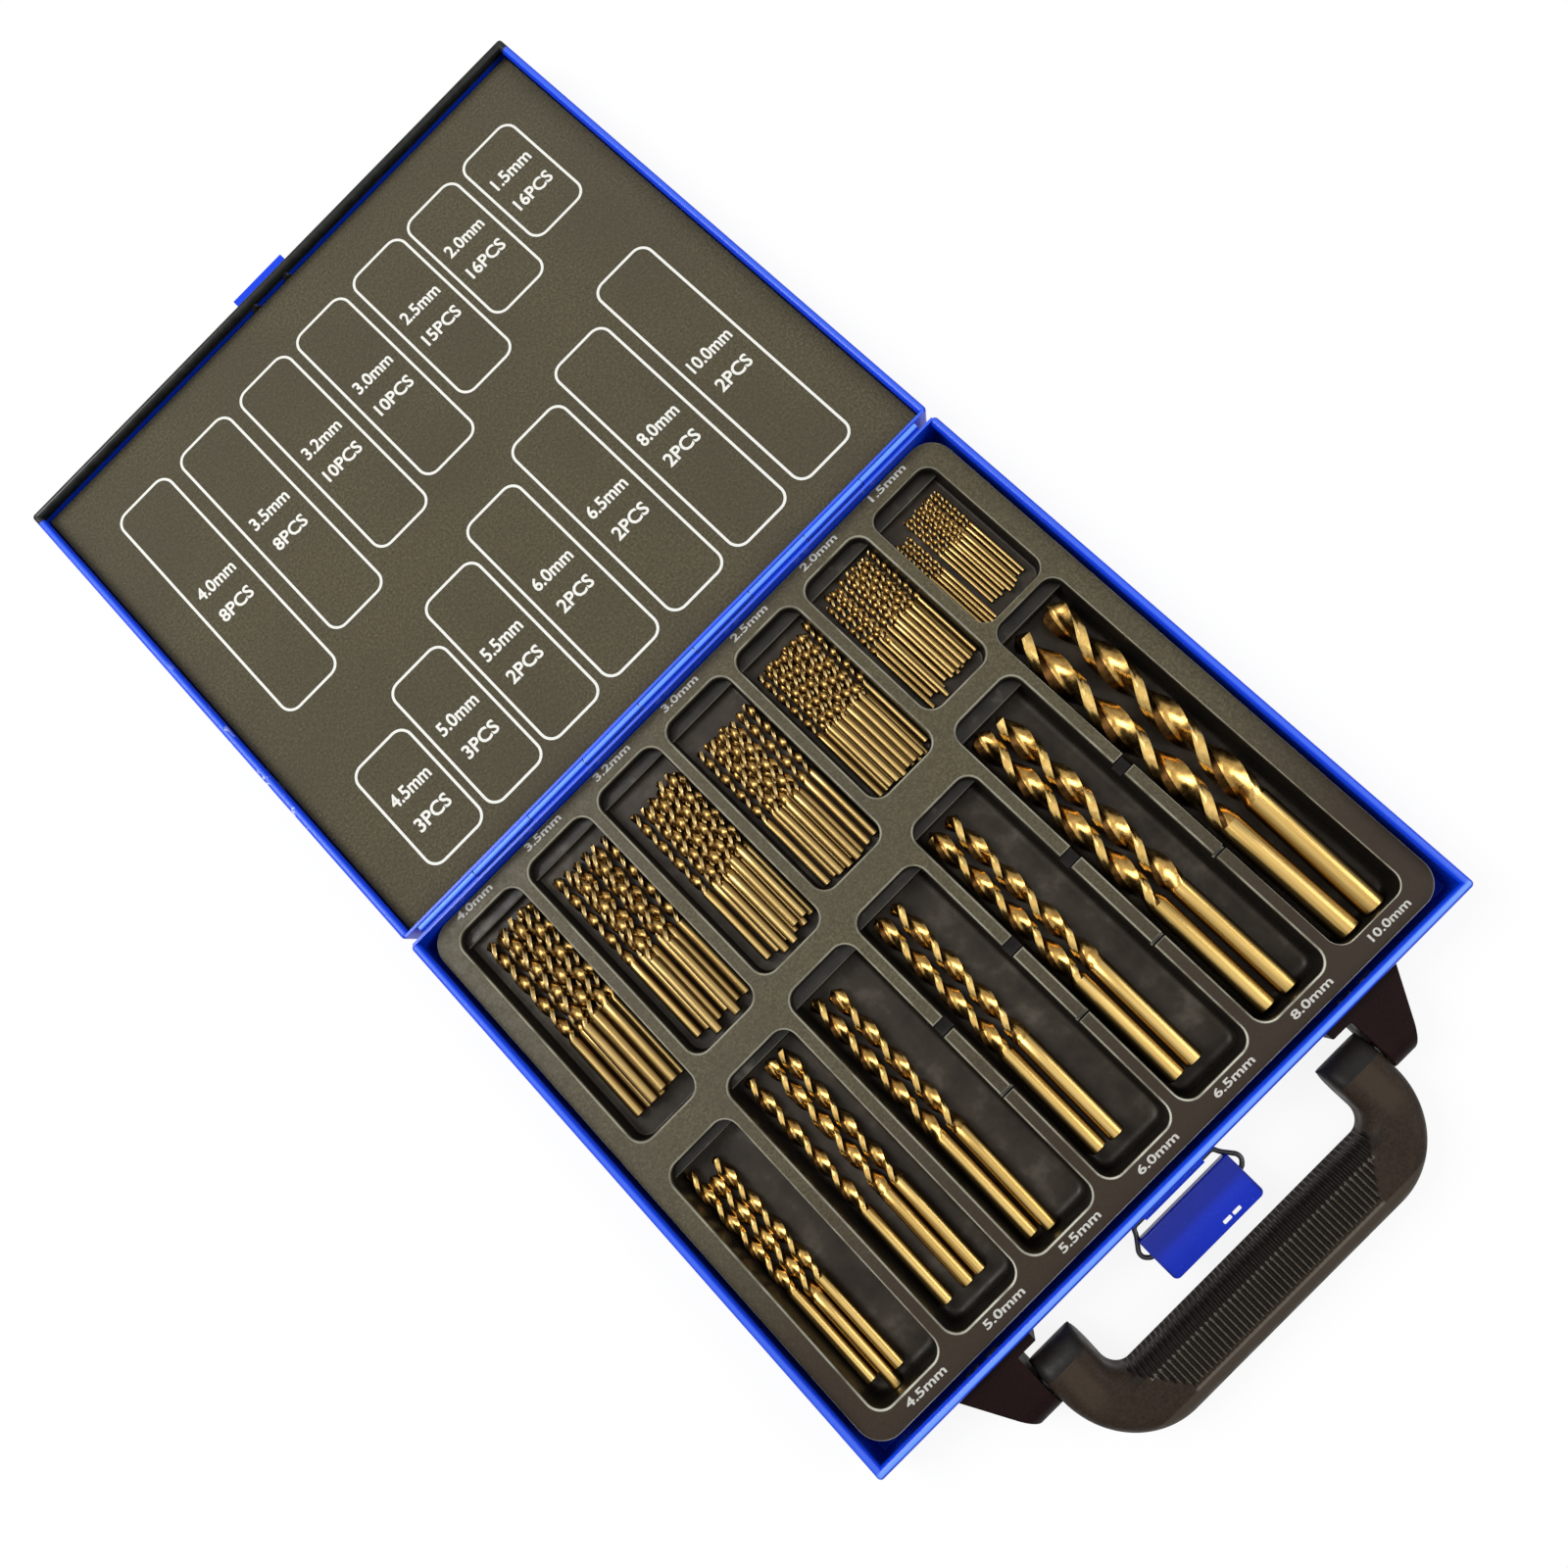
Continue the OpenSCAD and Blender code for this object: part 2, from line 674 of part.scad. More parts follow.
base_shell();
lid_shell();
hinge_leaf_base();
hinge_leaf_lid();
hinge_pin();
drill_tray();
lid_pad();
handle();
handle_bracket_right();
handle_bracket_left();
handle_pins();
bracket_screws();
latch_bracket();
latch_rivets();
latch_bail();
latch_lever();
lid_catch();
catch_rivets();
bits_1_5mm();
bits_2_0mm();
bits_2_5mm();
bits_3_0mm();
bits_3_2mm();
bits_3_5mm();
bits_4_0mm();
bits_4_5mm();
bits_5_0mm();
bits_5_5mm();
bits_6_0mm();
bits_6_5mm();
bits_8_0mm();
bits_10_0mm();
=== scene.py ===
"""Looks for the drill bit case: an open blue steel box with a moulded tray of gold bits,
a printed foam pad in the lid, a ribbed handle and a wire toggle latch.
Lengths are millimetres in the part's own frame, but metres in materials, meshes and the stage."""

import math

import bmesh
import bpy
import numpy as np
from mathutils import Matrix, Vector, noise

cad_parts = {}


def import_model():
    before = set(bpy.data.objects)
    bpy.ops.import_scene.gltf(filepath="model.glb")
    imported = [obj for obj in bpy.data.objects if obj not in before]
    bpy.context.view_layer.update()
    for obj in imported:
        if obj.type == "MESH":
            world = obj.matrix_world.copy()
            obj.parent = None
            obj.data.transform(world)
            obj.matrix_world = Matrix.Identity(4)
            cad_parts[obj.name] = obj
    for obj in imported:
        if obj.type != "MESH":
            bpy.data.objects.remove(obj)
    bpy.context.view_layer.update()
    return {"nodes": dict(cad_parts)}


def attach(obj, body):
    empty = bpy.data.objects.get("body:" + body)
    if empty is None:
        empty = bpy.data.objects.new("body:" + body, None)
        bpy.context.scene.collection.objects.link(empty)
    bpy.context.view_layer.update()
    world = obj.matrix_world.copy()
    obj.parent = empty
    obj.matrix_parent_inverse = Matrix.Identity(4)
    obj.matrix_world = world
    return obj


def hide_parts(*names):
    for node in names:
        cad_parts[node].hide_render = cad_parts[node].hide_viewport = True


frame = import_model()
NODES = frame["nodes"]
MM = 0.001
X, Y, Z = 0, 1, 2


# ---------------------------------------------------------------- materials


class Mat:
    """A node material with a few short ways to add textures to its Principled shader."""

    def __init__(self, name, rough=0.5, metal=0.0, coat=0.0, spec=0.5):
        self.m = bpy.data.materials.new(name)
        self.m.use_nodes = True
        self.t = self.m.node_tree
        self.b = self.t.nodes["Principled BSDF"]
        self.b.inputs["Roughness"].default_value = rough
        self.b.inputs["Metallic"].default_value = metal
        self.b.inputs["Coat Weight"].default_value = coat
        self.b.inputs["Specular IOR Level"].default_value = spec
        self.coord = self.t.nodes.new("ShaderNodeTexCoord").outputs["Object"]

    def link(self, a, b):
        self.t.links.new(a, b)

    def scaled(self, scale):
        n = self.t.nodes.new("ShaderNodeMapping")
        n.inputs["Scale"].default_value = scale
        self.link(self.coord, n.inputs["Vector"])
        return n.outputs["Vector"]

    def noise(self, scale, detail=3.0, rough=0.5, stretch=(1, 1, 1)):
        n = self.t.nodes.new("ShaderNodeTexNoise")
        n.inputs["Scale"].default_value = scale
        n.inputs["Detail"].default_value = detail
        n.inputs["Roughness"].default_value = rough
        self.link(self.scaled(stretch), n.inputs["Vector"])
        return n.outputs["Fac"]

    def normal(self, i):
        """A part of the object's own surface direction."""
        n = self.t.nodes.new("ShaderNodeSeparateXYZ")
        c = self.t.nodes.new("ShaderNodeTexCoord")
        self.link(c.outputs["Normal"], n.inputs["Vector"])
        return n.outputs[i]

    def band(self, value, low, high, edge):
        """1 between low and high, with soft edges."""
        return self.both(self.span(value, low - edge, low), self.span(value, high + edge, high))

    def axis(self, i):
        """A part of the place on the object, in metres."""
        n = self.t.nodes.new("ShaderNodeSeparateXYZ")
        self.link(self.coord, n.inputs["Vector"])
        return n.outputs[i]

    def span(self, value, low, high, to_low=0.0, to_high=1.0):
        """The value carried smoothly from low and high to to_low and to_high, and held beyond."""
        n = self.t.nodes.new("ShaderNodeMapRange")
        n.interpolation_type = "SMOOTHSTEP"
        self.link(value, n.inputs["Value"])
        for k, v in zip(("From Min", "From Max", "To Min", "To Max"), (low, high, to_low, to_high)):
            n.inputs[k].default_value = v
        return n.outputs["Result"]

    def math(self, op, a, b):
        n = self.t.nodes.new("ShaderNodeMath")
        n.operation = op
        for s, v in zip(n.inputs, (a, b)):
            if hasattr(v, "links"):
                self.link(v, s)
            else:
                s.default_value = v
        return n.outputs[0]

    def both(self, a, b):
        """The product, which is 1 only where both are."""
        return self.math("MULTIPLY", a, b)

    def size_of(self, a):
        """The value without its sign."""
        return self.math("ABSOLUTE", a, 0)

    def base(self):
        """The colour that the shader has so far."""
        return self.b.inputs["Base Color"].links[0].from_socket

    def ramp(self, value, stops):
        n = self.t.nodes.new("ShaderNodeValToRGB")
        r = n.color_ramp
        while len(r.elements) < len(stops):
            r.elements.new(0.5)
        for e, (p, c) in zip(r.elements, stops):
            e.position = p
            e.color = (*c, 1)
        self.link(value, n.inputs["Fac"])
        return n.outputs["Color"]

    def mix(self, fac, a, b):
        n = self.t.nodes.new("ShaderNodeMix")
        n.data_type = "RGBA"
        for s, v in ((n.inputs[0], fac), (n.inputs[6], a), (n.inputs[7], b)):
            if hasattr(v, "links"):
                self.link(v, s)
            elif isinstance(v, tuple):
                s.default_value = (*v, 1)
            else:
                s.default_value = v
        return n.outputs[2]

    def colour(self, c):
        self.link(c, self.b.inputs["Base Color"])

    def roughness(self, value, low, high):
        self.link(self.span(value, 0.3, 0.7, low, high), self.b.inputs["Roughness"])

    def bump(self, height, strength, distance):
        n = self.t.nodes.new("ShaderNodeBump")
        n.inputs["Strength"].default_value = strength
        n.inputs["Distance"].default_value = distance
        self.link(height, n.inputs["Height"])
        self.link(n.outputs["Normal"], self.b.inputs["Normal"])


def blue_paint(name, dark=(0.0017, 0.041, 0.63), light=(0.0021, 0.048, 0.71)):
    """Gloss blue with fine light specks: dark and light are the ends of its clouds."""
    k = Mat(name, rough=0.28, coat=0.12, spec=0.22)
    k.b.inputs["Coat Roughness"].default_value = 0.1
    paint = k.ramp(k.noise(26, 4), [(0.3, dark), (0.7, light)])
    speck = k.span(k.noise(900, 2), 0.66, 0.76, 0, 0.3)
    k.colour(k.mix(speck, paint, (0.02, 0.11, 0.85)))
    k.roughness(k.noise(700, 3), 0.26, 0.34)
    k.bump(k.noise(420, 2), 0.12, 0.0004)
    return k


def hinge_paint():
    """The hinge's paint, with a painted highlight in lighter blue along the top of the knuckles."""
    k = blue_paint("blue_paint_hinge")
    paint = k.base()
    # painted highlight: lighter blue on the up-facing tops of the knuckles
    facing_up = k.span(k.normal(Z), 0.70, 0.96, 0, 0.95)
    wear_and_highlight = k.both(facing_up, k.span(k.axis(Z), 0.0205, 0.0212))
    k.colour(k.mix(wear_and_highlight, paint, (0.14, 0.32, 0.98)))
    return k


def lever_paint():
    """The lever's paint, with painted shade on the half next to the case and along the plate's
    ends.
    """
    k = blue_paint("blue_paint_latch", (0.0006, 0.013, 0.30), (0.0009, 0.019, 0.42))
    paint = k.base()
    # painted shade: a dark blue on the half next to the case and at the plate's ends
    near_case = k.span(k.axis(Y), -0.1195, -0.1160, 0, 0.6)
    off_middle = k.size_of(k.math("ADD", k.axis(X), 0.002))
    shade = k.math("MAXIMUM", near_case, k.span(off_middle, 0.0168, 0.0178, 0, 0.7))
    k.colour(k.mix(shade, paint, (0.0006, 0.006, 0.13)))
    return k


def shell_paint():
    """The boxes' paint: a painted highlight along the rims' crests, strongest in front, painted
    shade on the lid's far lip, and pale scratches on the lid's -X side."""
    k = blue_paint("blue_paint_shell")
    paint = k.base()
    x, y, z = k.axis(X), k.axis(Y), k.axis(Z)
    # painted highlight: lighter blue along the tops of the rims, strongest on the front rim
    front = k.span(y, -0.1035, -0.1046, 0.25, 0.85)
    crest = k.both(k.span(k.normal(Z), 0.80, 0.97), k.span(z, 0.0188, 0.0195))
    paint = k.mix(k.both(crest, front), paint, (0.16, 0.34, 0.98))
    # painted shade: near-black on the top of the lid's far lip
    lip = k.both(k.span(y, 0.3166, 0.3174), k.span(z, 0.0135, 0.0150))
    dark = k.ramp(k.noise(300, 3), [(0.3, (0.008, 0.009, 0.008)), (0.7, (0.022, 0.024, 0.020))])
    paint = k.mix(lip, paint, dark)
    side = k.both(k.span(x, -0.1165, -0.1185), k.span(y, 0.155, 0.17))
    side = k.both(side, k.span(y, 0.243, 0.228))
    scratch = k.noise(260, 5, 0.65, (1, 0.35, 1))
    k.colour(k.mix(k.both(side, k.span(scratch, 0.565, 0.60)), paint, (0.55, 0.60, 0.78)))
    return k


def tray_plastic():
    """Formed sheet: olive-grey top, browner towards the front, with painted highlights on the
    pockets' edges, painted shade inside the pockets as near-black walls and brown floors with
    clouds of painted highlight, and a painted highlight on the narrow notches' floors."""
    k = Mat("tray_plastic", rough=0.42, spec=0.2)
    fine = k.noise(1500, 3, 0.6)
    cloud = k.noise(34, 4, 0.55)
    y, z = k.axis(Y), k.axis(Z)
    top = k.ramp(fine, [(0.32, (0.050, 0.042, 0.023)), (0.52, (0.081, 0.068, 0.038)),
                        (0.72, (0.124, 0.106, 0.064))])
    top = k.mix(k.span(cloud, 0.35, 0.7, 0, 0.4), top, (0.066, 0.057, 0.036))
    top = k.mix(k.span(y, -0.012, -0.084, 0, 0.88), top, (0.029, 0.018, 0.011))
    # painted highlight on the pockets' rolled lips, patchy, and paler at the front ends
    wear_and_highlight = k.span(k.noise(120, 3), 0.3, 0.6, 0.35, 0.95)
    crest = k.both(k.band(z, 0.01455, 0.01488, 0.0001), wear_and_highlight)
    front = k.span(y, -0.0855, -0.0915)
    top = k.mix(crest, top, k.mix(front, (0.33, 0.32, 0.25), (0.58, 0.58, 0.48)))
    # painted shade inside the pockets: near-black walls, and dark brown floors with clouds of
    # painted highlight
    wall = k.ramp(fine, [(0.3, (0.005, 0.004, 0.003)), (0.8, (0.016, 0.013, 0.010))])
    bed = k.ramp(k.noise(80, 4, 0.6), [(0.35, (0.020, 0.014, 0.009)),
                                       (0.55, (0.036, 0.027, 0.018)),
                                       (0.72, (0.078, 0.066, 0.049))])
    flat = k.span(k.normal(Z), 0.7, 0.95)
    inside = k.mix(k.both(flat, k.span(z, 0.0086, 0.0080)), wall, bed)
    # painted highlight: a pale line on the floors of the narrow notches
    notch_floor = k.band(z, 0.0118, 0.0122, 0.0002)
    inside = k.mix(k.both(flat, notch_floor), inside, (0.20, 0.19, 0.15))
    k.colour(k.mix(k.span(z, 0.0132, 0.0144), inside, top))
    k.roughness(k.noise(300, 3), 0.34, 0.5)
    k.bump(k.noise(1200, 3), 0.10, 0.0003)
    return k


def ledge_plastic():
    """The steps at the tips: painted shade, with clouds of painted reflection, and a painted
    highlight on the free edge.
    """
    k = Mat("ledge_plastic", rough=0.35, spec=0.3)
    # painted shade, with clouds of painted reflection
    bed = k.ramp(k.noise(110, 4, 0.6), [(0.35, (0.009, 0.007, 0.005)),
                                        (0.58, (0.020, 0.016, 0.011)),
                                        (0.76, (0.10, 0.09, 0.07))])
    # painted highlight along the rounded free edge
    edge = k.band(k.axis(Z), 0.0096, 0.0102, 0.0002)
    tilt = k.both(edge, k.span(k.normal(Z), 0.98, 0.85, 0, 0.6))
    k.colour(k.mix(tilt, bed, (0.17, 0.16, 0.12)))
    k.roughness(k.noise(250, 3), 0.26, 0.44)
    return k


def foam():
    """The lid's foam: open cells in two sizes, with faint clouds."""
    k = Mat("pad_foam", rough=0.95, spec=0.15)
    k.b.inputs["Sheen Weight"].default_value = 0.15
    cells = k.noise(1100, 5, 0.7)
    cloud = k.noise(22, 3, 0.6)
    c = k.ramp(cells, [(0.30, (0.043, 0.036, 0.020)), (0.50, (0.081, 0.069, 0.041)),
                       (0.70, (0.136, 0.119, 0.075))])
    k.colour(k.mix(k.span(cloud, 0.35, 0.68, 0, 0.4), c, (0.060, 0.053, 0.033)))
    k.bump(k.noise(1300, 4, 0.65), 0.55, 0.0008)
    return k


def ink(name, tone, wear_and_highlight):
    """Printing ink, rubbed off in specks by the share worn."""
    k = Mat(name, rough=0.7, spec=0.3)
    k.colour(k.mix(k.span(k.noise(1300, 4, 0.7), 0.54, 0.68, 0, wear_and_highlight), tone, (0.14, 0.13, 0.10)))
    k.bump(k.noise(1500, 2), 0.2, 0.0002)
    return k


def handle_plastic(name, tone, gain=1.9, rough=(0.42, 0.6), spec=0.2):
    """Grained black plastic: tone is its middle colour, and light grains are gain times that."""
    k = Mat(name, rough=0.5, spec=spec)
    grain = k.noise(1400, 4, 0.65)
    streak = k.noise(70, 3, 0.6, (1, 0.5, 1))
    c = k.ramp(grain, [(0.3, tuple(v * 0.7 for v in tone)), (0.7, tuple(v * gain for v in tone))])
    k.colour(k.mix(k.span(streak, 0.4, 0.75, 0, 0.5), c, tuple(v * 1.6 for v in tone)))
    k.roughness(k.noise(200, 3), *rough)
    k.bump(k.noise(1300, 3), 0.22, 0.0003)
    return k


def grip_plastic():
    """The handle's plastic, with painted highlights along both borders of the ribs, painted shade
    on the slope towards the case, and painted highlights on the outer edge and down each arm."""
    k = handle_plastic("handle_plastic", (0.019, 0.0125, 0.0080), spec=0.12)
    c = k.base()
    x, y = k.axis(X), k.axis(Y)
    reach = k.size_of(x)
    # painted highlights: light lines along both borders of the ribs
    inner = k.both(k.band(y, -0.13805, -0.13755, 0.0003), k.span(reach, 0.0445, 0.0435))
    outer = k.both(k.band(y, -0.1481, -0.1476, 0.0003), k.span(reach, 0.0375, 0.0365))
    lines = k.math("MAXIMUM", inner, k.both(outer, 0.45))
    # painted shade on the slope towards the case
    slope = k.both(k.band(y, -0.1365, -0.1340, 0.0006), k.span(reach, 0.0520, 0.0470))
    c = k.mix(k.both(slope, 0.6), c, (0.007, 0.0055, 0.004))
    # painted highlight along the outer edge
    edge = k.band(y, -0.1512, -0.1485, 0.0008)
    c = k.mix(k.both(edge, 0.45), c, (0.085, 0.070, 0.052))
    # painted highlight down the top of each arm
    off_arm = k.size_of(k.math("SUBTRACT", reach, 0.0591))
    arm = k.both(k.span(off_arm, 0.0048, 0.0020), k.span(y, -0.137, -0.130))
    c = k.mix(k.both(arm, 0.4), c, (0.062, 0.044, 0.030))
    k.colour(k.mix(k.both(lines, 0.7), c, (0.24, 0.22, 0.18)))
    return k


def rib_plastic():
    """The ribs on the grip's outer part: a painted highlight on their crests, stronger towards the
    case.
    """
    # a lighter tone than the grip: painted highlight on the ribs' crests
    k = handle_plastic("handle_rib_plastic", (0.052, 0.042, 0.031), 1.7, spec=0.12)
    c = k.base()
    # more painted highlight towards the case
    k.colour(k.mix(k.span(k.axis(Y), -0.1390, -0.1365, 0, 0.5), c, (0.13, 0.11, 0.085)))
    return k


def gold(name, low, high, rough, stretch=(1, 1, 1), scale=500, side=0.45, turn=(0.75, 0.35)):
    """Gold coat on ground steel, with painted shade: browner, by the share side, where the surface
    turns
    away from the top: turn is the upward part of its direction where that begins and is complete."""
    k = Mat(name, metal=1.0)
    n = k.noise(scale, 4, 0.6, stretch)
    c = k.ramp(n, [(0.3, low), (0.7, high)])
    per_bit = k.noise(150, 1, 0.3, (1, 0.05, 1))
    c = k.mix(k.span(per_bit, 0.35, 0.65, 0, 0.3), c, tuple(v * 0.75 for v in low))
    # painted shade where the surface turns away from the top
    k.colour(k.mix(k.span(k.normal(Z), *turn, 0, side), c, (0.10, 0.042, 0.008)))
    k.roughness(n, *rough)
    k.bump(k.noise(scale, 2, 0.5, stretch), 0.04, 0.0001)
    return k


def steel(name, tone):
    """Bare steel of pins, screws and rivets."""
    k = Mat(name, metal=1.0)
    n = k.noise(600, 3, 0.6, (1, 1, 0.2))
    k.colour(k.ramp(n, [(0.3, tuple(v * 0.75 for v in tone)), (0.7, tone)]))
    k.roughness(n, 0.25, 0.42)
    return k


def wire_paint():
    """The black coat on the latch wire."""
    k = Mat("black_wire", rough=0.3, coat=0.3)
    k.colour(k.ramp(k.noise(700, 3), [(0.3, (0.004, 0.004, 0.006)), (0.7, (0.014, 0.014, 0.018))]))
    k.roughness(k.noise(500, 2), 0.22, 0.4)
    return k


# a ground shank: streaks along it, and painted shade on all but a narrow band on top
GROUND = {"stretch": (1, 0.012, 1), "scale": 1300, "turn": (0.90, 0.45)}

M = {
    "shell": shell_paint(),
    "blue": hinge_paint(),
    "latch": lever_paint(),
    "tray": tray_plastic(),
    "ledge": ledge_plastic(),
    "foam": foam(),
    "pad_ink": ink("white_ink", (0.74, 0.74, 0.69), 0.25),
    "tray_ink": ink("grey_ink", (0.52, 0.51, 0.46), 0.35),
    "handle": grip_plastic(),
    # the grooves between the ribs: painted shade in a darker tone
    "groove": handle_plastic("handle_groove_plastic", (0.005, 0.004, 0.003), 1.4),
    "rib": rib_plastic(),
    # the arms' rounded ends: painted shade in a darker tone
    "cap": handle_plastic("handle_end_plastic", (0.008, 0.0065, 0.005), 1.5),
    "bracket": handle_plastic("bracket_plastic", (0.0095, 0.0040, 0.0036), 1.5, (0.4, 0.55), 0.06),
    "shank": gold("gold_shank", (0.62, 0.38, 0.10), (0.98, 0.70, 0.26), (0.24, 0.34), side=0.8,
                  **GROUND),
    "land": gold("gold_land", (0.80, 0.49, 0.135), (0.98, 0.70, 0.26), (0.18, 0.28)),
    # the flutes are shaded copies of the lands' gold: painted shade, and a painted shadow in their
    # deep part
    "flute": gold("gold_flute", (0.46, 0.245, 0.058), (0.84, 0.54, 0.17), (0.22, 0.34)),
    "flute_deep": gold("gold_flute_deep", (0.030, 0.014, 0.004), (0.13, 0.062, 0.018),
                       (0.26, 0.42)),
    "small_shank": gold("gold_small_shank", (0.40, 0.26, 0.085), (0.66, 0.47, 0.19), (0.28, 0.38),
                        side=0.85, **GROUND),
    "small_land": gold("gold_small_land", (0.56, 0.38, 0.14), (0.76, 0.55, 0.25), (0.22, 0.32)),
    # a shaded copy of the small lands' gold: painted shade
    "small_flute": gold("gold_small_flute", (0.36, 0.20, 0.055), (0.62, 0.40, 0.13), (0.24, 0.36),
                        side=0.6),
    "steel": steel("bare_steel", (0.55, 0.55, 0.56)),
    "wire": wire_paint(),
}


# ---------------------------------------------------------------- mesh helpers


def add(name, verts, faces, mats, body, index=None, sharp=35, weighted=False):
    """A mesh piece from millimetre vertices: mats are keys of M, and index picks one per face."""
    me = bpy.data.meshes.new(name)
    me.from_pydata((np.asarray(verts, float) * MM).tolist(), [], [list(map(int, f)) for f in faces])
    for m in mats:
        me.materials.append(M[m].m)
    if index is not None:
        me.polygons.foreach_set("material_index", np.asarray(index, np.int32))
    o = bpy.data.objects.new(name, me)
    bpy.context.scene.collection.objects.link(o)
    tidy(me, sharp)
    if weighted:
        weigh(o)
    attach(o, body)
    return o


def outward(me):
    """Turns the faces outwards."""
    bm = bmesh.new()
    bm.from_mesh(me)
    bmesh.ops.recalc_face_normals(bm, faces=bm.faces)
    bm.to_mesh(me)
    bm.free()


def tidy(me, sharp):
    """Outward faces, smooth but for edges sharper than the angle."""
    outward(me)
    me.shade_smooth()
    me.set_sharp_from_angle(angle=math.radians(sharp))


def bake(o):
    """Applies the object's modifiers to its mesh."""
    bpy.context.view_layer.update()
    dg = bpy.context.evaluated_depsgraph_get()
    me = bpy.data.meshes.new_from_object(o.evaluated_get(dg), depsgraph=dg)
    o.modifiers.clear()
    o.data = me
    return o


def weigh(o):
    """Weights the shading by face area, so that large faces look flat."""
    w = o.modifiers.new("weigh", "WEIGHTED_NORMAL")
    w.keep_sharp = True
    w.weight = 100
    bake(o)


def join_meshes(parts):
    """Joins (verts, faces, index) triples."""
    V, F, I, n = [], [], [], 0
    for v, f, i in parts:
        V.append(np.asarray(v, float))
        F += [[a + n for a in q] for q in f]
        I += list(i)
        n += len(v)
    return np.vstack(V), F, I


def join_plain(parts):
    """Joins (verts, faces) pairs of one material."""
    V, F, _ = join_meshes([(v, f, [0] * len(f)) for v, f in parts])
    return V, F


def rounded(x0, y0, x1, y1, r, n):
    """The outline of a rounded rectangle, anticlockwise, with n steps in each corner."""
    pts = []
    left, right, near, far = x0 + r, x1 - r, y0 + r, y1 - r
    for cx, cy, a in ((right, far, 0), (left, far, 90), (left, near, 180), (right, near, 270)):
        for i in range(n + 1):
            t = math.radians(a + 90 * i / n)
            pts.append((cx + r * math.cos(t), cy + r * math.sin(t)))
    return pts


def quarter(r, *angles):
    """Steps along a quarter round of radius r: how far back from the side face, and how far up."""
    return [(r * (1 - math.cos(math.radians(a))), r * math.sin(math.radians(a))) for a in angles]


def stack(rings, cap=True):
    """Quads between rings of equal length, with end caps."""
    n = len(rings[0])
    V = np.vstack([np.asarray(r, float) for r in rings])
    F = []
    for k in range(len(rings) - 1):
        for i in range(n):
            j = (i + 1) % n
            F.append([k * n + i, k * n + j, (k + 1) * n + j, (k + 1) * n + i])
    if cap:
        F.append(list(range(n - 1, -1, -1)))
        F.append([(len(rings) - 1) * n + i for i in range(n)])
    return V, F


def grown(rect, o, z, r, n=8):
    """A ring: the rounded rectangle made larger by o on each side, at height z."""
    x0, y0, x1, y1 = rect
    return [(x, y, z) for x, y in rounded(x0 - o, y0 - o, x1 + o, y1 + o, max(r + o, 0.4), n)]


def soften(node, name, mat, body, width):
    """A copy of a CAD node with its sharp edges rounded, to stand for it."""
    src = NODES[node].data
    bm = bmesh.new()
    bm.from_mesh(src)
    bmesh.ops.remove_doubles(bm, verts=bm.verts, dist=2e-6)
    bmesh.ops.dissolve_limit(bm, angle_limit=math.radians(1.5), verts=bm.verts, edges=bm.edges)
    bend = math.radians(32)
    edges = [e for e in bm.edges if len(e.link_faces) == 2 and e.calc_face_angle(0) > bend]
    bmesh.ops.bevel(bm, geom=edges, offset=width * MM, segments=2, profile=0.5, affect="EDGES",
                    clamp_overlap=True, miter_outer="ARC")
    me = bpy.data.meshes.new(name)
    bm.to_mesh(me)
    bm.free()
    me.materials.append(M[mat].m)
    o = bpy.data.objects.new(name, me)
    bpy.context.scene.collection.objects.link(o)
    tidy(me, 40)
    weigh(o)
    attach(o, body)
    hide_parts(node)
    return o


def lettering(name, rows, mat, body, height, z, thick):
    """Printed marks flat on a face: rows of (text, x, y, width), fitted to the width and height."""
    parts = []
    for i, (text, x, y, w) in enumerate(rows):
        c = bpy.data.curves.new(name + str(i), "FONT")
        c.body = text
        c.extrude = 0.0
        c.offset = 0.022  # a little bolder than the plain font
        c.resolution_u = 3
        t = bpy.data.objects.new(name + str(i), c)
        bpy.context.scene.collection.objects.link(t)
        bpy.context.view_layer.update()
        me = t.to_mesh()
        v = np.array([p.co[:2] for p in me.vertices], float)
        f = [list(p.vertices) for p in me.polygons]
        t.to_mesh_clear()
        bpy.data.objects.remove(t)
        lo, hi = v.min(0), v.max(0)
        v = (v - (lo + hi) / 2) / (hi - lo) * np.array([w, height]) + np.array([x, y])
        top = np.column_stack([v, np.full(len(v), z)])
        low = np.column_stack([v, np.full(len(v), z - thick)])
        n = len(v)
        # side walls on the outline, which is every edge with one face
        seen = {}
        for q in f:
            for a, b in zip(q, q[1:] + q[:1]):
                seen[(a, b)] = 1
        walls = [[a, b, b + n, a + n] for (a, b) in seen if (b, a) not in seen]
        parts.append((np.vstack([top, low]), f + walls))
    V, F = join_plain(parts)
    return add(name, V, F, [mat], body, sharp=30)


# ---------------------------------------------------------------- tray

TOP = 15.0
TRAY = (-116.5, -102, 116.5, 105.1)
TRAY_R, TRAY_STEPS, TRAY_LIP = 9.0, 16, 0.6
POCKET_R, WALL_SLOPE, POCKET_LIP = 5.0, 0.045, 1.0
# the ridge between these two pockets is only 2.1 mm wide, so their lip is smaller
CLOSE_POCKETS, CLOSE_LIP = (10, 1.5), 0.5
LARGE_FRONT, SMALL_BACK = -94.5, 98.7
LARGE_FLOOR, SMALL_FLOOR = 2.5, 7.2
LARGE_FILLET, SMALL_FILLET = 3.0, 1.0

# the pockets' sides, from +X to -X, each with one pocket of the front row and one of the back row
COLUMNS = [(81, 108.4), (49.8, 76.8), (18, 45.1), (-14, 13.5), (-45.4, -18.5), (-77.6, -50.2),
           (-109, -82.3)]
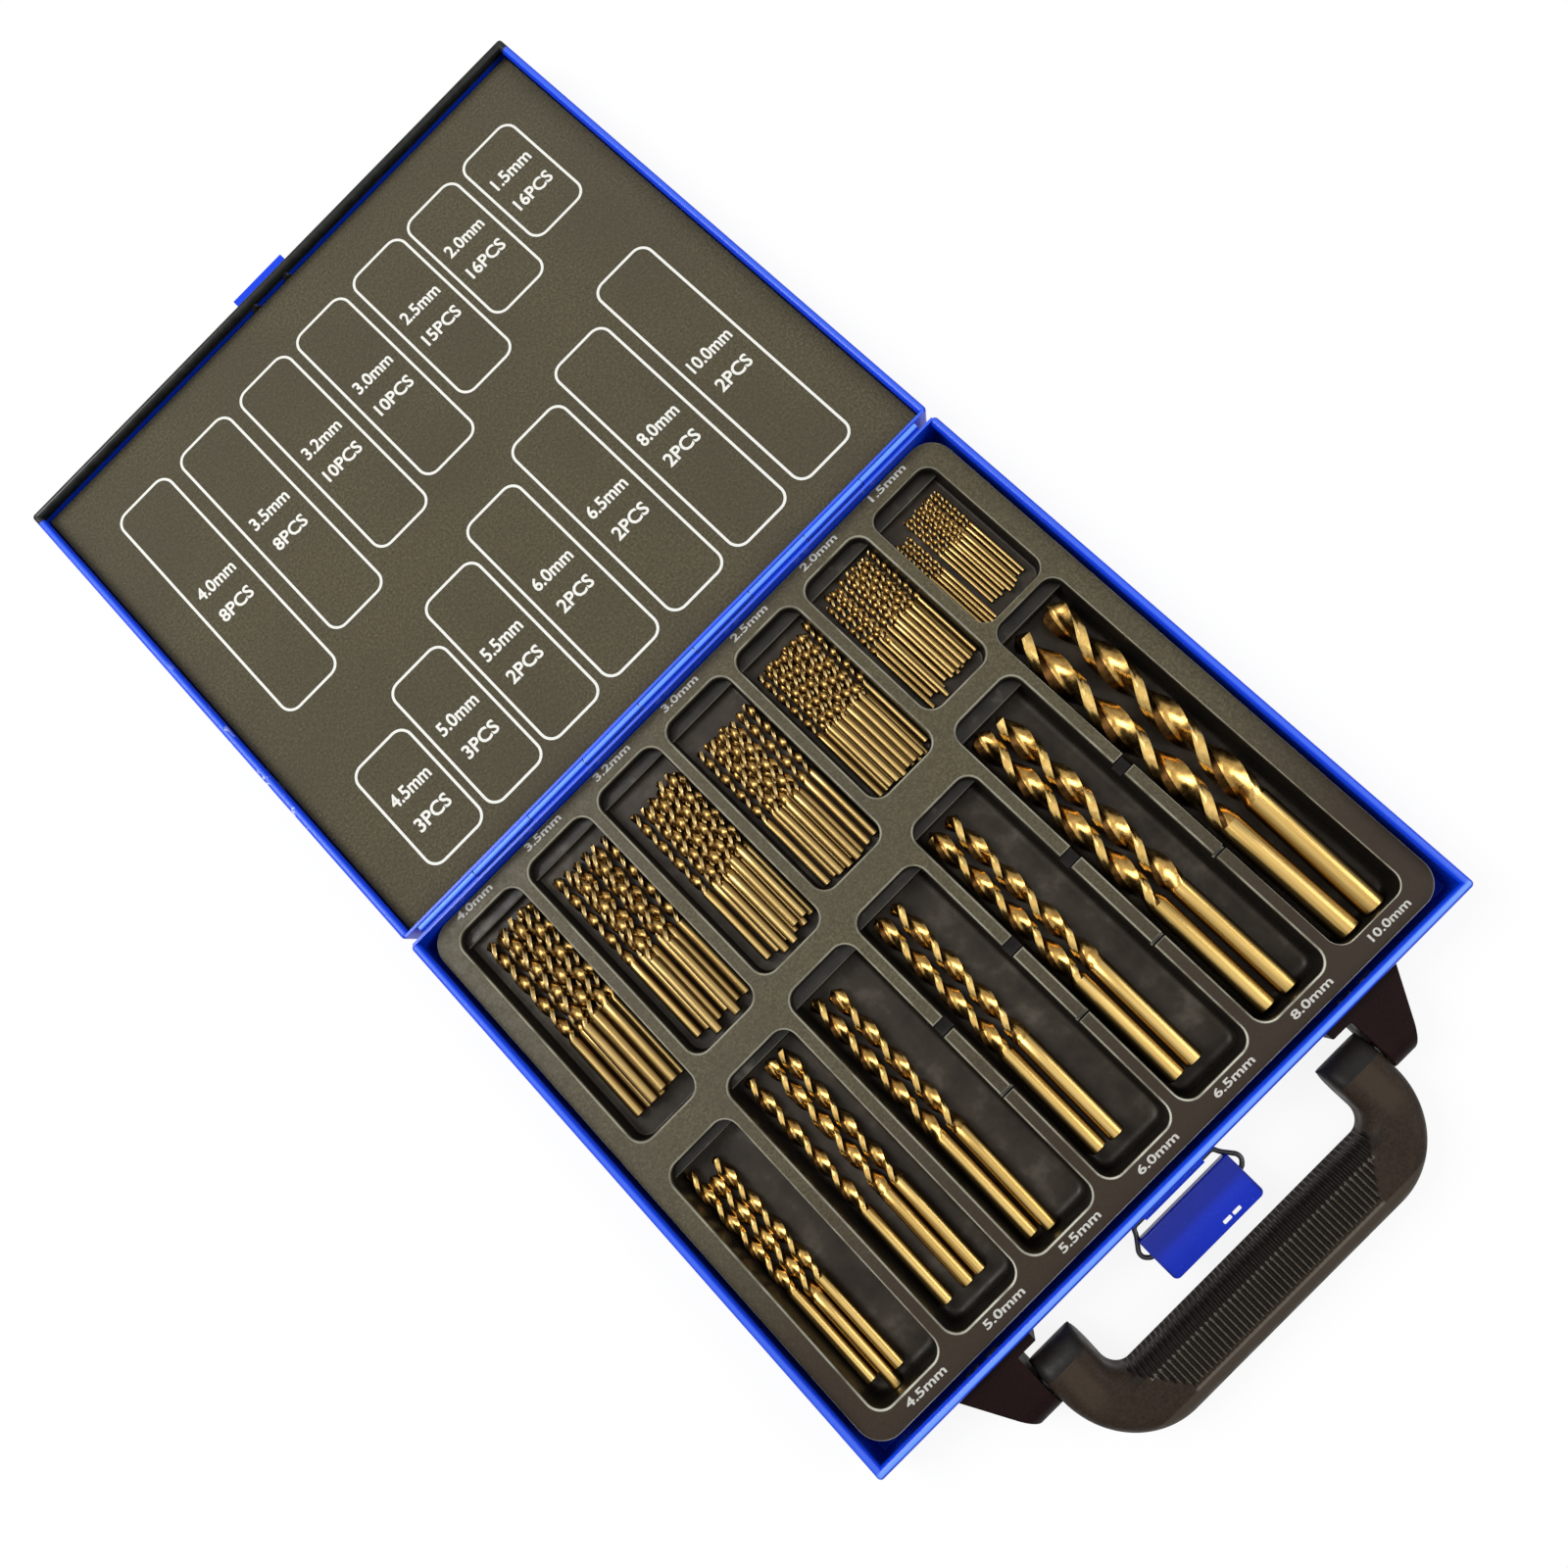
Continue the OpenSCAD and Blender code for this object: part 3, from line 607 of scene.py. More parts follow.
# rows of bit diameter, x of both sides, y of the end that isn't shared by the whole row of pockets
LARGE = [(d, *c, y) for d, c, y in zip((10, 8, 6.5, 6, 5.5, 5, 4.5), COLUMNS,
                                       (44.3, 31.7, 19.2, 11.8, 9.8, 4.7, -1.8))]
SMALL = [(d, *c, y) for d, c, y in zip((1.5, 2, 2.5, 3, 3.2, 3.5, 4), COLUMNS,
                                       (46.4, 39.5, 32, 23.5, 18.4, 15.8, 9.2))]

# the steps at the tips: how far the large ones reach into their pockets, from +X to -X, and the
# small ones into theirs; the heights of their tops; the radius of the free edge; how far they are
# sunk into the floor; how far they keep off the sides and are let into the end wall
LARGE_LEDGES = [4.3, 5, 3.4, 3.4, 4.6, 2.7, 3]
SMALL_LEDGE = 4.2
LARGE_STEP_Z, SMALL_STEP_Z = 10, 10.2
STEP_R, STEP_SUNK, STEP_SIDE = 0.5, 0.5, 0.2

# rows of x of both ends, y of the wide notch, y of the narrow one
NOTCHES = [(76.8, 81, -13, -50.8), (45.1, 49.8, -21.3, -56), (13.5, 18, -27.6, -56),
           (-18.5, -14, -29.9, -56)]
# half width, floor and lip
WIDE_NOTCH, NARROW_NOTCH = (2.25, 9.0, 0.6), (0.7, 12.0, 0.35)
NOTCH_OVER = 1.2


def pocket_cutter(d, rect, floor, fillet):
    """A moulded pocket's inside: rolled lip, slightly sloping walls, rounded floor."""
    lip = CLOSE_LIP if d in CLOSE_POCKETS else POCKET_LIP
    rings = [grown(rect, lip + 0.02, TOP + 1.5, POCKET_R)]
    for back, up in quarter(lip, 90, 72, 54, 36, 18, 0):
        rings.append(grown(rect, back, TOP - lip + up, POCKET_R))
    low = -WALL_SLOPE * (TOP - lip - floor - fillet)
    for a in (0, 22.5, 45, 67.5, 90):
        t = math.radians(a)
        out, z = low - fillet * (1 - math.cos(t)), floor + fillet * (1 - math.sin(t))
        rings.append(grown(rect, out, z, POCKET_R))
    return stack(rings)


def notch_cutter(x0, x1, y, half, z, lip):
    """A finger notch across a ridge, open at both ends, with rolled top edges."""
    prof = [(half * 0.55, z), (half * 0.85, z + 0.25), (half * 0.97, z + 0.8), (half, TOP - lip)]
    prof += [(half + back, TOP - lip + up) for back, up in quarter(lip, 30, 60, 90)]
    prof.append((half + lip + 0.02, TOP + 1.2))
    line = [(-h, q) for h, q in reversed(prof)] + prof
    return stack([[(x, y + a, b) for a, b in line] for x in (x0 - NOTCH_OVER, x1 + NOTCH_OVER)])


def tray_solid(name, parts):
    """The tray's slab, or a tool that is cut out of it."""
    V, F = join_plain(parts)
    me = bpy.data.meshes.new(name)
    me.from_pydata((V * MM).tolist(), [], F)
    outward(me)
    me.materials.append(M["tray"].m)
    o = bpy.data.objects.new(name, me)
    bpy.context.scene.collection.objects.link(o)
    return o


def drill_tray():
    """The moulded tray: a slab with a rounded rim, and the pockets and notches cut out of it."""
    rings = [grown(TRAY, -0.9, 0.95, TRAY_R, TRAY_STEPS), grown(TRAY, -0.3, 4, TRAY_R, TRAY_STEPS)]
    for back, up in quarter(TRAY_LIP, 0, 22.5, 45, 67.5, 90):
        rings.append(grown(TRAY, -0.1 - back, TOP - TRAY_LIP + up, TRAY_R, TRAY_STEPS))
    slab = tray_solid("moulded_tray", [stack(rings)])
    pockets = [pocket_cutter(d, (x0, LARGE_FRONT, x1, y), LARGE_FLOOR, LARGE_FILLET)
               for d, x0, x1, y in LARGE]
    pockets += [pocket_cutter(d, (x0, y, x1, SMALL_BACK), SMALL_FLOOR, SMALL_FILLET)
                for d, x0, x1, y in SMALL]
    notches = [notch_cutter(x0, x1, y, *WIDE_NOTCH) for x0, x1, y, _ in NOTCHES]
    notches += [notch_cutter(x0, x1, y, *NARROW_NOTCH) for x0, x1, _, y in NOTCHES]
    for name, shapes in (("pockets_cut", pockets), ("notches_cut", notches)):
        tool = tray_solid(name, shapes)
        b = slab.modifiers.new(name, "BOOLEAN")
        b.operation = "DIFFERENCE"
        b.solver = "EXACT"
        b.object = tool
        bake(slab)
        bpy.data.objects.remove(tool)
    me = slab.data
    me.shade_smooth()
    me.set_sharp_from_angle(angle=math.radians(38))
    weigh(slab)
    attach(slab, "base")
    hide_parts("drill_tray")
    return slab


def ledge_block(x0, x1, y0, y1, z0, z1):
    """A raised step at the tip end of a pocket, its free edge rounded."""
    x0, x1, y1, z0 = x0 + STEP_SIDE, x1 - STEP_SIDE, y1 + STEP_SIDE, z0 - STEP_SUNK
    prof = [(y0, z0)]
    prof += [(y0 + back, z1 - STEP_R + up) for back, up in quarter(STEP_R, 0, 30, 60, 90)]
    prof += [(y1, z1), (y1, z0)]
    return stack([[(x, y, z) for y, z in prof] for x in (x0, x1)])


def tray_steps():
    """The steps at the tips of both rows of pockets."""
    parts = [ledge_block(x0, x1, y - depth, y, LARGE_FLOOR, LARGE_STEP_Z)
             for (_, x0, x1, y), depth in zip(LARGE, LARGE_LEDGES)]
    parts += [ledge_block(x0, x1, SMALL_BACK - SMALL_LEDGE, SMALL_BACK, SMALL_FLOOR, SMALL_STEP_Z)
              for _, x0, x1, _ in SMALL]
    V, F = join_plain(parts)
    return add("tray_ledges", V, F, ["ledge"], "base", weighted=True)


# ---------------------------------------------------------------- drill bits

# of the flutes, in diameters, for one turn
LEAD = 4.85
# what a face of a bit is, in the order of bit_group's materials
SHANK, LAND, FLUTE, DEEP = range(4)
# of a section: angles where the margin ends and the land begins and ends, and the land's drop
MARGIN_END, LAND_FROM, LAND_TO, LAND_DROP = 10, 14, 46, 0.04
FLUTE_DEPTH = 0.70
# above the floor of a pocket, and between bits of two layers
BIT_CLEAR, LAYER_CLEAR = 0.04, 0.06


def spread(i):
    """A number from 0 to 1 that is the same for the same i."""
    v = math.sin(math.radians(i * 47.3 + 11)) * 43.758
    return v - math.floor(v)


def section(n_land, n_flute):
    """A two-flute section as (angle, radius): margin, land and a hollow flute, twice; and what each
    stretch is."""
    land_r = 1.0 - LAND_DROP
    half = [(0, 1.0), (MARGIN_END, 1.0), (LAND_FROM, land_r)]
    half += [(LAND_FROM + (LAND_TO - LAND_FROM) * i / n_land, land_r) for i in range(1, n_land + 1)]
    kinds = [LAND] * (len(half) - 1)
    for i in range(1, n_flute):
        u = i / n_flute
        depth = math.sin(math.pi * u ** 0.86) ** 0.75
        r = 1.0 - LAND_DROP * (1 - u) - FLUTE_DEPTH * depth
        half.append((LAND_TO + (180 - LAND_TO) * u, r))
    # the deep part of each flute takes the painted shadow
    kinds += [DEEP if (i + 0.5) / n_flute < 0.22 else FLUTE for i in range(n_flute)]
    return half + [(a + 180, r) for a, r in half], kinds * 2


def bit_mesh(d, length, flute, shank, turn, fine):
    """One right-hand twist drill along +Y from the origin: chamfered shank, run-out, flutes and
    point. flute is the fluted length with the point, and shank the shank's diameter."""
    ring, flags = section(3, 10) if fine else section(1, 5)
    per_turn = 36 if fine else 15
    ang = np.radians([a for a, _ in ring])
    rad = np.array([r for _, r in ring])
    n = len(ring)
    R, S = d / 2, shank / 2
    start = length - flute
    chamfer, point, run_out = 0.06 * d, 0.3 * d, 0.9 * d
    rings, fluted = [], []

    def put(z, radii, twist, is_fluted):
        t = ang + twist + math.radians(turn)
        rings.append(np.column_stack([radii * np.cos(t), radii * np.sin(t), np.full(n, z)]))
        fluted.append(is_fluted)

    put(0, np.full(n, S - chamfer), 0, False)
    put(chamfer, np.full(n, S), 0, False)
    for k in range(1, 5):
        put(chamfer + (start - chamfer) * k / 4, np.full(n, S), 0, False)
    steps = int(math.ceil((flute - point) / (LEAD * d / per_turn)))
    for k in range(1, steps + 1):
        z = (flute - point) * k / steps
        f = math.sin(min(1.0, z / run_out) * math.pi / 2) ** 0.8
        web = 1 + 0.35 * (1 - z / flute)
        r = 1 - (1 - rad) * f / web
        blend = min(1.0, z / (0.5 * d))
        put(start + z, r * (S + (R - S) * blend), 2 * math.pi * z / (LEAD * d), True)
    twist = 2 * math.pi * (flute - point) / (LEAD * d)
    for k in (0.66, 0.33, 0.06):
        put(length - point * k, rad * R * k, twist + (1 - k) * 0.35, True)
    V, F = stack(rings)
    index = []
    for is_fluted in fluted[1:]:
        index += flags if is_fluted else [SHANK] * n
    index += [SHANK, LAND]
    return np.column_stack([V[:, 0], V[:, 2], -V[:, 1]]), F, index


# rows of diameter, length, fluted length, and what lies in the pocket: rows of number of bits,
# x of the first, pitch towards -X, layer, gap to the pocket's front
SMALL_BITS = [
    (1.5, 40, 17, [(5, 104.6, 1.75, 0, 5.2), (4, 95.85, 1.75, 0, 4.8), (3, 100.225, 1.75, 1, 3.6),
                   (4, 87.6, 1.62, 0, 0.3)]),
    (2, 49, 24, [(10, 75.4, 2.25, 0, 4), (1, 52.9, 2.25, 0, 1.2), (1, 58.525, 2.25, 1, 0.4),
                 (4, 72.025, 2.25, 1, 4.2)]),
    (2.5, 57, 30, [(9, 43.6, 2.8, 0, 0.4), (6, 39.4, 2.8, 1, 0.4)]),
    (3, 61, 33, [(7, 11.2, 3.6, 0, 1.6), (3, 2.2, 3.6, 1, 0.8)]),
    (3.2, 65, 36, [(6, -20.6, 3.9, 0, 3.4), (2, -30.35, 3.9, 1, 0.6), (2, -22.55, 3.9, 1, 4.4)]),
    (3.5, 70, 39, [(6, -52.4, 4.1, 0, 4), (1, -58.55, 4.1, 1, 0.3), (1, -66.75, 4.1, 1, 0.3)]),
    (4, 75, 43, [(5, -84.8, 4.6, 0, 6.4), (3, -87.1, 4.6, 1, 6.8)]),
]
# rows of diameter, shank, length, fluted length, and for each bit x, y of its shank end and x of
# its tip
LARGE_BITS = [
    (10, 8.4, 133, 87, [(98.7, -94, 101), (88.5, -93.7, 87.4)]),
    (8, 6.8, 119, 76, [(64.4, -93.2, 64.3), (55.9, -92.6, 56)]),
    (6.5, 6.4, 103.5, 64, [(29.6, -88.9, 30.7), (22.6, -88.5, 23.4)]),
    (6, 5.9, 95.5, 57, [(-2.3, -88, -1), (-9.1, -87.4, -8)]),
    (5.5, 5.4, 95.2, 57, [(-35.5, -93, -33.7), (-41.3, -90.9, -40.2)]),
    (5, 4.9, 89.2, 54, [(-59.7, -87.8, -58.4), (-65, -87.9, -63.8), (-73.4, -87.5, -72.4)]),
    (4.5, 4.4, 82.4, 48.5, [(-96.9, -90.4, -97), (-101.6, -94.1, -101.5), (-106.3, -87.9, -106.2)]),
]


def corner_room(x, d, p):
    """How far a bit keeps from the front of its pocket to clear the round corners."""
    _, x0, x1, _ = p
    e = POCKET_R + d / 2 - min(x1 - x, x - x0)
    return 0 if e <= 0 else POCKET_R - math.sqrt(POCKET_R ** 2 - e * e) + 0.15


def bit_group(d, parts):
    """The bits of one diameter as one piece."""
    V, F, I = join_meshes(parts)
    tag = f"{d:.1f}".replace(".", "_")
    size = "small_" if d <= 4 else ""
    mats = [size + "shank", size + "land", size + "flute", "flute_deep"]
    o = add(f"fluted_bits_{tag}mm", V, F, mats, "base", I, sharp=42)
    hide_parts(f"bits_{tag}mm")


def drill_bits():
    """All bits: the small ones in rows and layers, the large ones each where the photo has it."""
    for g, (d, length, flute, rows) in enumerate(SMALL_BITS):
        parts = []
        for count, first, pitch, layer, gap in rows:
            rise = math.sqrt((d + LAYER_CLEAR) ** 2 - (pitch / 2) ** 2)
            z = SMALL_FLOOR + BIT_CLEAR + d / 2 + layer * rise
            for i in range(count):
                v, f, m = bit_mesh(d, length, flute, d, 360 * spread(3 * i + g), False)
                x = first - i * pitch
                off = max(gap + 1.6 * spread(i + 7 * count + g), corner_room(x, d, SMALL[g]))
                parts.append((v + np.array((x, SMALL[g][3] + off, z)), f, m))
        bit_group(d, parts)
    for g, (d, shank, length, flute, spots) in enumerate(LARGE_BITS):
        parts = []
        for i, (x, y, tip) in enumerate(spots):
            v, f, m = bit_mesh(d, length, flute, shank, 70 + 110 * i + 25 * g, True)
            a = -math.asin((tip - x) / length)
            c, s = math.cos(a), math.sin(a)
            v = np.column_stack([c * v[:, 0] - s * v[:, 1], s * v[:, 0] + c * v[:, 1], v[:, 2]])
            parts.append((v + np.array((x, y, LARGE_FLOOR + BIT_CLEAR + d / 2)), f, m))
        bit_group(d, parts)


# ---------------------------------------------------------------- lid pad and printed marks

PAD_TOP, PAD_UNDER = 14.55, 0.95
LID_Y = 215.6


def wavy(x, y):
    """The unevenness of the foam's face."""
    wide = noise.noise(Vector((x / 17, y / 17, 3.1)))
    return 0.05 * wide + 0.03 * noise.noise(Vector((x / 5, y / 5, 9.7)))


def lid_pad():
    """The foam pad: a slab with a rounded edge and a very slightly uneven face."""
    hx, hy, r = 118.1, 104.35, 1.6
    taper = 0.997
    near = [0, 0.12, 0.3, 0.55, 0.9, 1.3, 1.8, 2.6]

    def line(h):
        mid = np.arange(-h + 4, h - 3.9, 2.0)
        return np.concatenate([-h + np.array(near), mid, h - np.array(near[::-1])])

    xs, ys = line(hx), line(hy)
    V, n, m = [], len(xs), len(ys)
    for y in ys:
        for x in xs:
            e = min(hx - abs(x), hy - abs(y))
            k = max(0.0, r - e)
            drop = r - math.sqrt(max(0.0, r * r - k * k))
            V.append((x, y + LID_Y, PAD_TOP - drop + (wavy(x, y) if e > r else 0)))
    F = [[j * n + i, j * n + i + 1, (j + 1) * n + i + 1, (j + 1) * n + i]
         for j in range(m - 1) for i in range(n - 1)]
    edge = list(range(n)) + [j * n + n - 1 for j in range(1, m)]
    edge += [(m - 1) * n + i for i in range(n - 2, -1, -1)] + [j * n for j in range(m - 2, 0, -1)]
    base = len(V)
    V += [(V[i][0] * taper, LID_Y + (V[i][1] - LID_Y) * taper, PAD_UNDER) for i in edge]
    q = len(edge)
    F += [[edge[i], base + i, base + (i + 1) % q, edge[(i + 1) % q]] for i in range(q)]
    F.append([base + i for i in range(q)])
    o = add("foam_pad", V, F, ["foam"], "lid", sharp=50)
    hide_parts("lid_pad")


# Printed boxes on the pad: size, count, x of the middle, y of the near and far edge, and y of the
# size line.
BOXES = [
    ("1.5mm", "16PCS", 88.8, 255.9, 301.3, 284.6), ("2.0mm", "16PCS", 59.9, 245.6, 300.8, 279.0),
    ("2.5mm", "15PCS", 32.0, 232.8, 300.6, 272.9), ("3.0mm", "10PCS", 2.8, 220.9, 300.3, 266.9),
    ("3.2mm", "10PCS", -26.3, 214.3, 300.2, 263.2), ("3.5mm", "8PCS", -56.8, 204.9, 300.2, 258.3),
    ("4.0mm", "8PCS", -87.6, 195.6, 300.2, 253.8),
    ("10.0mm", "2PCS", 88.2, 122.3, 228.4, 180.8), ("8.0mm", "2PCS", 58.0, 121.9, 218.2, 175.2),
    ("6.5mm", "2PCS", 28.4, 121.8, 209.1, 169.9), ("6.0mm", "2PCS", -1.7, 121.6, 200.2, 165.7),
    ("5.5mm", "2PCS", -30.2, 121.1, 191.0, 160.9), ("5.0mm", "3PCS", -58.1, 119.7, 178.0, 153.4),
    ("4.5mm", "3PCS", -86.2, 119.4, 166.3, 147.3),
]


def pad_prints():
    """The outlines on the pad, and the two lines of text in each."""
    z, sunk, stroke, half = PAD_TOP + 0.09, 0.4, 0.95, 12.75
    parts = []
    for _, _, x, y0, y1, _ in BOXES:
        rect = (x - half, y0 + 0.7, x + half, y1 - 0.7)
        rings = [grown(rect, o, h, 5.2, 7)
                 for o, h in ((0, z - sunk), (0, z), (-stroke, z), (-stroke, z - sunk))]
        parts.append(stack(rings, cap=False))
    V, F = join_plain(parts)
    add("pad_outlines", V, F, ["pad_ink"], "lid", sharp=30)
    rows = []
    for size, count, x, _, _, y in BOXES:
        rows.append((size, x, y, 18.2 if len(size) > 5 else 17.0))
        rows.append((count, x, y - 12.1, 16.6 if len(count) > 4 else 14.6))
    lettering("pad_lettering", rows, "pad_ink", "lid", 5.2, z + 0.01, sunk)


def tray_prints():
    """The sizes along the tray's two long edges."""
    back = (("1.5mm", 94.6), ("2.0mm", 63.0), ("2.5mm", 31.0), ("3.0mm", -1.0), ("3.2mm", -32.4),
            ("3.5mm", -64.2), ("4.0mm", -96.0))
    front = (("10.0mm", 97.0), ("8.0mm", 65.2), ("6.5mm", 33.3), ("6.0mm", 2.1), ("5.5mm", -29.8),
             ("5.0mm", -61.0), ("4.5mm", -93.2))
    rows = [(t, x, 103.1, 15.4) for t, x in back] + [(t, x, -97.6, 15.6) for t, x in front]
    lettering("tray_lettering", rows, "tray_ink", "base", 2.6, TOP + 0.03, 0.12)


# ---------------------------------------------------------------- handle

# the arms' pivot, outer side, width and thickness; the grip's outer and inner side with their
# corner radii; and the height of the handle's middle
PIVOT_Y, ARM_X, ARM_W, THICK = -121.0, 67.2, 16.2, 15.0
GRIP_OUT, GRIP_IN, R_OUT, R_IN = -152.6, -132.2, 26.5, 5.5
HANDLE_Z = 10
GRIP_RINGS, RING_POINTS = 560, 64
# the ribs: pitch, and y of both ends of the field that they fill
RIB_PITCH, RIB_NEAR, RIB_FAR = 1.85, -131.7, -147.5
# what a face of the handle is, in the order of its materials
PLAIN, CAP, GROOVE, RIB = range(4)


def handle_path():
    """Inner and outer edge points with the half thickness, from one arm's end to the other."""
    side, half = [], THICK / 2
    arm_in = ARM_X - ARM_W
    xi, xo = arm_in - R_IN, ARM_X - R_OUT
    for a in np.linspace(89.2, 0, 14):
        t = math.radians(a)
        y = PIVOT_Y + half * math.sin(t)
        side.append(((arm_in, y), (ARM_X, y), max(half * math.cos(t), 0.05)))
    for k in np.linspace(0, 1, 5)[1:]:
        y = PIVOT_Y + k * (GRIP_OUT + R_OUT - PIVOT_Y)
        side.append(((arm_in, y), (ARM_X, y), half))
    for a in np.linspace(0, 90, 76)[1:]:
        t = math.radians(a)
        c, s = math.cos(t), math.sin(t)
        side.append(((xi + R_IN * c, GRIP_IN + R_IN - R_IN * s),
                     (xo + R_OUT * c, GRIP_OUT + R_OUT - R_OUT * s), half))
    grip = [((xi - 2 * xi * k, GRIP_IN), (xo - 2 * xo * k, GRIP_OUT), half)
            for k in np.linspace(0, 1, GRIP_RINGS)[1:-1]]
    back = [((-i[0], i[1]), (-o[0], o[1]), h) for i, o, h in reversed(side)]
    return side + grip + back


def rib_wave(x, y):
    """The ribbed field at a point: how much of it applies, and the groove from 0 to 1."""
    half = 48.2 - (-132.4 - y) * 0.79
    inside = min(RIB_NEAR - y, y - RIB_FAR, half - abs(x))
    wave = 0.5 + 0.5 * math.cos(2 * math.pi * x / RIB_PITCH)
    return min(max(inside / 0.5, 0.0), 1.0), 1 - wave ** 1.4


def outline_point(t, w, h, r):
    """A point and outward direction on a rounded rectangle w by h, for a share t of its outline."""
    sides = 2 * (w - 2 * r) + 2 * (h - 2 * r)
    arc = math.pi * r / 2
    legs = [h / 2 - r, arc, w - 2 * r, arc, h - 2 * r, arc, w - 2 * r, arc, h / 2 - r]
    s, k = t * (sides + 4 * arc), 0
    while k < 8 and s > legs[k]:
        s -= legs[k]
        k += 1
    a, b = w / 2 - r, h / 2 - r
    if k in (1, 3, 5, 7):
        c = math.pi / 2 * (k // 2) + s / r
        u, v = math.cos(c), math.sin(c)
        cx, cy = [(a, b), (-a, b), (-a, -b), (a, -b)][k // 2]
        return (cx + r * u, cy + r * v), (u, v)
    return {0: ((w / 2, s), (1, 0)), 2: ((a - s, h / 2), (0, 1)), 4: ((-w / 2, b - s), (-1, 0)),
            6: ((-a + s, -h / 2), (0, -1)), 8: ((w / 2, -b + s), (1, 0))}[k]


def carry_handle():
    """The handle in rings from one arm's end to the other, with the ribs pressed into the grip."""
    n, rings, caps, deep, fields = RING_POINTS, [], [], [], []
    for inner, outer, h in handle_path():
        i, o = np.array(inner), np.array(outer)
        mid, half = (i + o) / 2, (o - i) / 2
        w = np.linalg.norm(half)
        across = half / w
        lengthwise = min(max((abs(inner[1] - PIVOT_Y) - 2) / 10, 0), 1)
        r = min((3.4 + 2.1 * lengthwise) if inner[1] < PIVOT_Y else 3.4, h * 0.96, w * 0.96)
        ring, low, cover = [], [], []
        for k in range(n):
            (a, b), (u, v) = outline_point((k + 0.5) / n, 2 * w, 2 * h, r)
            xy = mid + across * a
            field, groove = rib_wave(xy[0], xy[1]) if b > -3 else (0.0, 0.0)
            d = field * (0.1 + 0.95 * groove)
            low.append(field * groove)
            cover.append(field)
            xy = xy - across * d * u
            ring.append((xy[0], xy[1], HANDLE_Z + b - d * v))
        rings.append(ring)
        deep.append(low)
        fields.append(cover)
        caps.append(inner[1] > PIVOT_Y + 0.2 and abs(inner[1] - PIVOT_Y) < 9)
    V, F = stack(rings)
    index = []
    for k in range(len(rings) - 1):
        for i in range(n):
            j = (i + 1) % n
            g = (deep[k][i] + deep[k][j] + deep[k + 1][i] + deep[k + 1][j]) / 4
            field = min(fields[k][i], fields[k + 1][j])
            if caps[k] and caps[k + 1]:
                index.append(CAP)
            elif g > 0.5:
                index.append(GROOVE)
            elif field > 0.9 and g < 0.3 and rings[k][i][1] < -137.5:
                index.append(RIB)
            else:
                index.append(PLAIN)
    index += [CAP, CAP]
    mats = ["handle", "cap", "groove", "rib"]
    o = add("ribbed_handle", V, F, mats, "handle", index, sharp=60)
    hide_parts("handle")


# ---------------------------------------------------------------- latch wire


WIRE_R, BEND_R = 0.78, 1.1
WIRE_SIDES, BEND_STEPS, WIRE_STEP = 12, 7, 0.6


def tube(path, r):
    """A round wire along a path of points, with frames that don't twist."""
    angles = np.linspace(0, 2 * math.pi, WIRE_SIDES, endpoint=False)
    P = np.asarray(path, float)
    T = np.gradient(P, axis=0)
    T /= np.linalg.norm(T, axis=1)[:, None]
    side = np.cross(T[0], (0, 0, 1.0))
    side /= np.linalg.norm(side)
    rings = []
    for p, t in zip(P, T):
        side = side - t * np.dot(side, t)
        side /= np.linalg.norm(side)
        up = np.cross(t, side)
        rings.append([p + r * (math.cos(a) * side + math.sin(a) * up) for a in angles])
    return stack(rings)


def smooth_path(points, radius):
    """A polyline with rounded bends."""
    P = [np.asarray(p, float) for p in points]
    out = [P[0]]
    for a, b, c in zip(P, P[1:], P[2:]):
        u, v = a - b, c - b
        r = min(radius, np.linalg.norm(u) * 0.48, np.linalg.norm(v) * 0.48)
        u, v = u / np.linalg.norm(u), v / np.linalg.norm(v)
        for k in range(BEND_STEPS + 1):
            t = k / BEND_STEPS
            out.append((b + u * r) * (1 - t) ** 2 + 2 * b * t * (1 - t) + (b + v * r) * t ** 2)
    out.append(P[-1])
    # even out the spacing, so that the frames stay clean
    fine = [out[0]]
    for a, b in zip(out, out[1:]):
        k = max(1, int(np.linalg.norm(b - a) / WIRE_STEP))
        fine += [a + (b - a) * (i + 1) / k for i in range(k)]
    return fine


def latch_wire():
    """The latch's bail: y0 is its pivot at the case and y1 the lever's."""
    x, y0, y1, z = -2.0, -108.2, -117.5, 10.0
    half = [(16.2, y1), (18.6, y1), (20.3, y1 + 1.7), (20.3, y1 + 3.4), (17.2, y0 - 2.2),
            (16.2, y0)]
    pts = [(x - a, b, z) for a, b in half] + [(x + a, b, z) for a, b in reversed(half)]
    v, f = tube(smooth_path(pts, BEND_R), WIRE_R)
    o = add("bent_wire_bail", v, f, ["wire"], "latch_wire", sharp=60)
    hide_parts("latch_bail")


# ---------------------------------------------------------------- put it together

drill_tray()
tray_steps()
tray_prints()
drill_bits()
lid_pad()
pad_prints()
carry_handle()
latch_wire()
soften("latch_lever", "lever_plate", "latch", "latch_lever", 0.28)
soften("latch_bracket", "bail_bracket", "blue", "base", 0.2)
soften("lid_catch", "lid_catch_plate", "blue", "lid", 0.2)
soften("handle_bracket_right", "bracket_right", "bracket", "base", 0.7)
soften("handle_bracket_left", "bracket_left", "bracket", "base", 0.7)

for name, key in (("base_shell", "shell"), ("lid_shell", "shell"), ("hinge_leaf_base", "blue"),
                  ("hinge_leaf_lid", "blue"), ("hinge_pin", "steel"), ("handle_pins", "steel"),
                  ("bracket_screws", "steel"), ("latch_rivets", "steel"),
                  ("catch_rivets", "steel")):
    me = NODES[name].data
    me.materials.clear()
    me.materials.append(M[key].m)


# ---------------------------------------------------------------- stage, lights and camera


FLOOR_HALF = 3.0
FLOOR_GLOW = 0.88
LIT_AT = (0, 0.08, 0)
